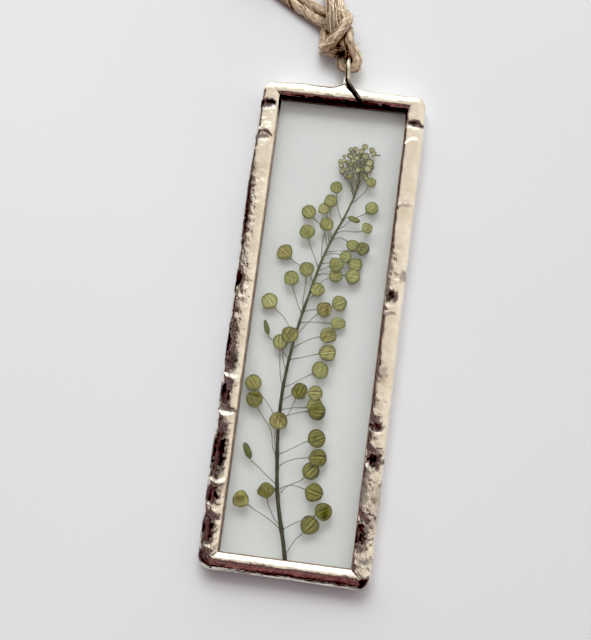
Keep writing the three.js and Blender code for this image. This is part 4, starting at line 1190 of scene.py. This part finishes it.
HEAD_BUDS = [
    pod(0.75, 26.8, 0.75, 21.5, layer="back"),
    pod(1.2, 27.6, 0.55, 22.6, layer="mid"),
    pod(1.1, 25.05, 0.7, 21.3),
    pod(1.95, 25.6, 0.7, 22.0, layer="mid"),
    pod(2.3, 24.35, 0.85, 21.8, look="brown"),
    pod(1.95, 27.95, 0.75, 23.4, layer="back"),
    pod(2.1, 28.75, 0.7, 24.2),
    pod(2.8, 29.0, 0.75, 25.2, layer="mid"),
    pod(2.7, 28.15, 0.9, 24.8, layer="back"),
    pod(2.4, 26.3, 0.55, 23.0),
    pod(3.0, 26.3, 0.6, 24.0, layer="mid"),
    pod(2.75, 25.3, 0.6, 22.8, layer="back"),
    pod(4.25, 29.5, 0.9, 26.6, layer="mid"),
    pod(4.5, 27.9, 1.1, 25.6),
    pod(3.7, 28.1, 0.8, 26.2, layer="back"),
    pod(5.4, 29.2, 0.8, 25.4, layer="back"),
    pod(4.3, 26.9, 0.9, 24.6, layer="back"),
    pod(5.3, 27.0, 1.15, 24.3, layer="mid"),
    pod(5.15, 25.85, 1.1, 23.2),
    pod(4.75, 24.95, 0.95, 22.6, layer="back"),
    pod(0.9, 26.1, 0.75, 21.9, layer="mid"),
    pod(1.3, 26.85, 0.6, 22.4),
    pod(1.45, 25.4, 0.8, 21.6, layer="back"),
    pod(1.8, 26.8, 0.7, 22.7, layer="back"),
    pod(2.25, 27.7, 0.75, 23.9, layer="mid"),
    pod(2.7, 26.9, 0.7, 23.8),
    pod(3.2, 27.5, 0.75, 24.6, layer="mid"),
    pod(3.75, 28.6, 0.85, 26.4),
    pod(3.6, 25.5, 0.8, 22.9),
    pod(4.35, 25.7, 0.8, 23.6, look="dark"),
    pod(5.8, 28.55, 0.75, 25.8, layer="mid"),
    pod(5.7, 26.4, 0.7, 24.0, layer="back"),
    pod(4.4, 28.0, 0.45, 25.6, look="brown"),
    pod(1.15, 24.9, 0.5, 21.4, layer="mid"),
    pod(5.1, 24.4, 0.7, 22.2, layer="mid"),
]


def make_head(material):
    parts = Parts()
    line = smooth_line([(x, y, STEM_Z) for x, y in HEAD_LINE], 0.3)

    def shape(angles, distance, share):
        size = value_at(STEM_WIDTHS, 21 + 6 * share) / 2 * (1 + 0.1 * math.sin(distance * 3))
        return circle(size, angles, 0.72)

    parts.add_rows(swept(line, shape, 10), STEM_TINT_HIGH)
    for i, bud in enumerate(HEAD_BUDS):
        root = (line_at(HEAD_LINE, bud["from"]), bud["from"])
        add_pod(parts, {"look": "bud", **bud, "across": bud["across"] * 1.15}, root, 900 + i, bud=True)
    head = parts.make("sprig_head", material)
    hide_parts("flower_head")


def make_petal(material):
    """The loose flake to the right of the head."""
    rows = []
    angles = np.arange(10) * 2 * math.pi / 10
    for share, width in ((0, 0.25), (0.25, 0.8), (0.5, 1), (0.75, 0.7), (1, 0.3)):
        y = 28.3 + 0.12 * share + 0.04 * math.sin(share * 3) + 0.15 * width * np.cos(angles)
        rows.append(np.stack([np.full(10, 6.1 + 0.85 * share), y, 2.05 + 0.045 * np.sin(angles)], axis=1))
    petal = Parts()
    petal.add_rows(np.array(rows), linear(128, 124, 92))
    loose = petal.make("petal_flake", material)
    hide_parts("loose_petal")


def dress_nodes(glass, foil):
    for name, material in (("glass_back", glass), ("glass_front", glass), ("copper_foil", foil)):
        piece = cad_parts[name]
        piece.data.materials.clear()
        piece.data.materials.append(material)


# Studio

def make_floor():
    bpy.ops.mesh.primitive_plane_add(size=6, location=(0, 0, -0.00003))
    floor = bpy.context.object
    floor.name = "floor"
    floor.data.materials.append(floor_look())


def area_light(name, at, towards, size, power, colour):
    data = bpy.data.lights.new(name, "AREA")
    data.shape = "RECTANGLE"
    data.size, data.size_y = size
    data.energy = power
    data.color = colour
    light = bpy.data.objects.new(name, data)
    light.location = at
    light.rotation_euler = (Vector(towards) - Vector(at)).to_track_quat("-Z", "Y").to_euler()
    light.visible_glossy = False
    bpy.context.scene.collection.objects.link(light)


class Room(Nodes):
    """Surroundings whose colour depends on the direction looked in."""

    def change(self, amount, low, high, first, second):
        return self.mix("MIX", self.span(amount, low, high, interpolation_type="SMOOTHSTEP"), first, second)

    def streaks(self, stretch, low, high, first, second):
        """A colour that wavers between two shades, as a furnished room does."""
        return self.change(self.noise(1, roughness=0.5, stretch=stretch), low, high, first, second)

    def blend(self, weights, low, high, first, second, waver=0.0):
        """Two colours blended by where a direction lies along a weighted axis, with an uneven border."""
        direction = self.node("ShaderNodeTexCoord").outputs["Generated"]
        dot = self.node("ShaderNodeVectorMath", {0: direction, 1: weights}, operation="DOT_PRODUCT")
        uneven = self.noise(1, roughness=0.5, stretch=(5, 5, 5))
        shifted = self.node("ShaderNodeMath", {0: uneven, 1: waver, 2: dot.outputs["Value"]},
                            operation="MULTIPLY_ADD")
        return self.change(shifted.outputs["Value"], low + waver / 2, high + waver / 2, first, second)


# Colours of the room that the solder and the wire mirror, and what the camera sees past the floor
ROOM_ABOVE = (0.8, 0.74, 0.65)
ROOM_BEHIND = (1.7, 1.68, 1.58)
ROOM_RIGHT = (0.93, 0.86, 0.75)
ROOM_LEFT = (0.075, 0.058, 0.066)
ROOM_LEFT_STREAKS = (0.34, 0.26, 0.25)
ROOM_NEAR = (0.078, 0.062, 0.067)
ROOM_NEAR_STREAKS = (0.26, 0.18, 0.2)
ROOM_FRONT = (0.47, 0.21, 0.22)
ROOM_FRONT_STREAKS = (0.08, 0.055, 0.062)
ROOM_FRONT_LIGHTS = (0.8, 0.52, 0.5)
ROOM_LOW = (0.08, 0.066, 0.068)
ROOM_SEEN = (0.75, 0.75, 0.76)


def make_world():
    """Bright behind the top of the ornament, pale to the right, dark to the left and in front."""
    world = bpy.data.worlds.new("studio")
    bpy.context.scene.world = world
    world.use_nodes = True
    room = Room(world.node_tree, "Generated")
    colour = room.blend((0, 1, 0), 0.3, 0.6, ROOM_ABOVE, ROOM_BEHIND)
    colour = room.blend((1, 0, 0), 0.05, 0.6, colour, ROOM_RIGHT)
    left = room.streaks((7, 1.5, 2), 0.42, 0.68, ROOM_LEFT, ROOM_LEFT_STREAKS)
    colour = room.blend((-0.64, -0.77, 0), 0.1, 0.26, colour, left, 0.3)
    near = room.streaks((4, 16, 3), 0.42, 0.6, ROOM_NEAR, ROOM_NEAR_STREAKS)
    colour = room.blend((0, -1, 0), 0.06, 0.2, colour, near, 0.1)
    front = room.streaks((5, 16, 3), 0.44, 0.56, ROOM_FRONT, ROOM_FRONT_STREAKS)
    front = room.streaks((6, 20, 4), 0.6, 0.7, front, ROOM_FRONT_LIGHTS)
    colour = room.blend((0, -1, 0), 0.58, 0.66, colour, front, 0.16)
    colour = room.blend((0, -1, 0), 0.84, 0.94, colour, ROOM_LOW, 0.1)
    camera_ray = room.node("ShaderNodeLightPath").outputs["Is Camera Ray"]
    room.links.new(room.mix("MIX", camera_ray, colour, ROOM_SEEN), room.nodes["Background"].inputs["Color"])
    world.cycles.sampling_method = "MANUAL"
    world.cycles.sample_map_resolution = 512


def make_light():
    make_world()
    area_light("window", (-0.08, 0.55, 0.72), (0, 0, 0), (0.5, 0.4), 3.6, (1.0, 0.98, 0.97))
    area_light("ceiling", (0.25, 0.1, 0.95), (0, 0, 0), (1.2, 1.2), 1.3, (0.95, 0.97, 1.0))
    scene = bpy.context.scene
    scene.view_settings.view_transform = "Standard"
    # The photograph's deep blacks
    scene.view_settings.use_curve_mapping = True
    scene.view_settings.curve_mapping.black_level = (0.05, 0.05, 0.047)
    scene.view_settings.curve_mapping.update()
    settings = {"max_bounces": 24, "transmission_bounces": 24, "transparent_max_bounces": 16,
                "glossy_bounces": 8, "diffuse_bounces": 4, "blur_glossy": 0.0, "use_denoising": True}
    for name, value in settings.items():
        setattr(scene.cycles, name, value)


make_camera()
make_twine(jute_look())
make_solder(solder_look())
make_wire(wire_look())
plant = plant_look()
make_stem(plant)
make_pods(plant)
make_head(plant)
make_petal(plant)
dress_nodes(glass_look(), foil_look())
make_floor()
make_light()
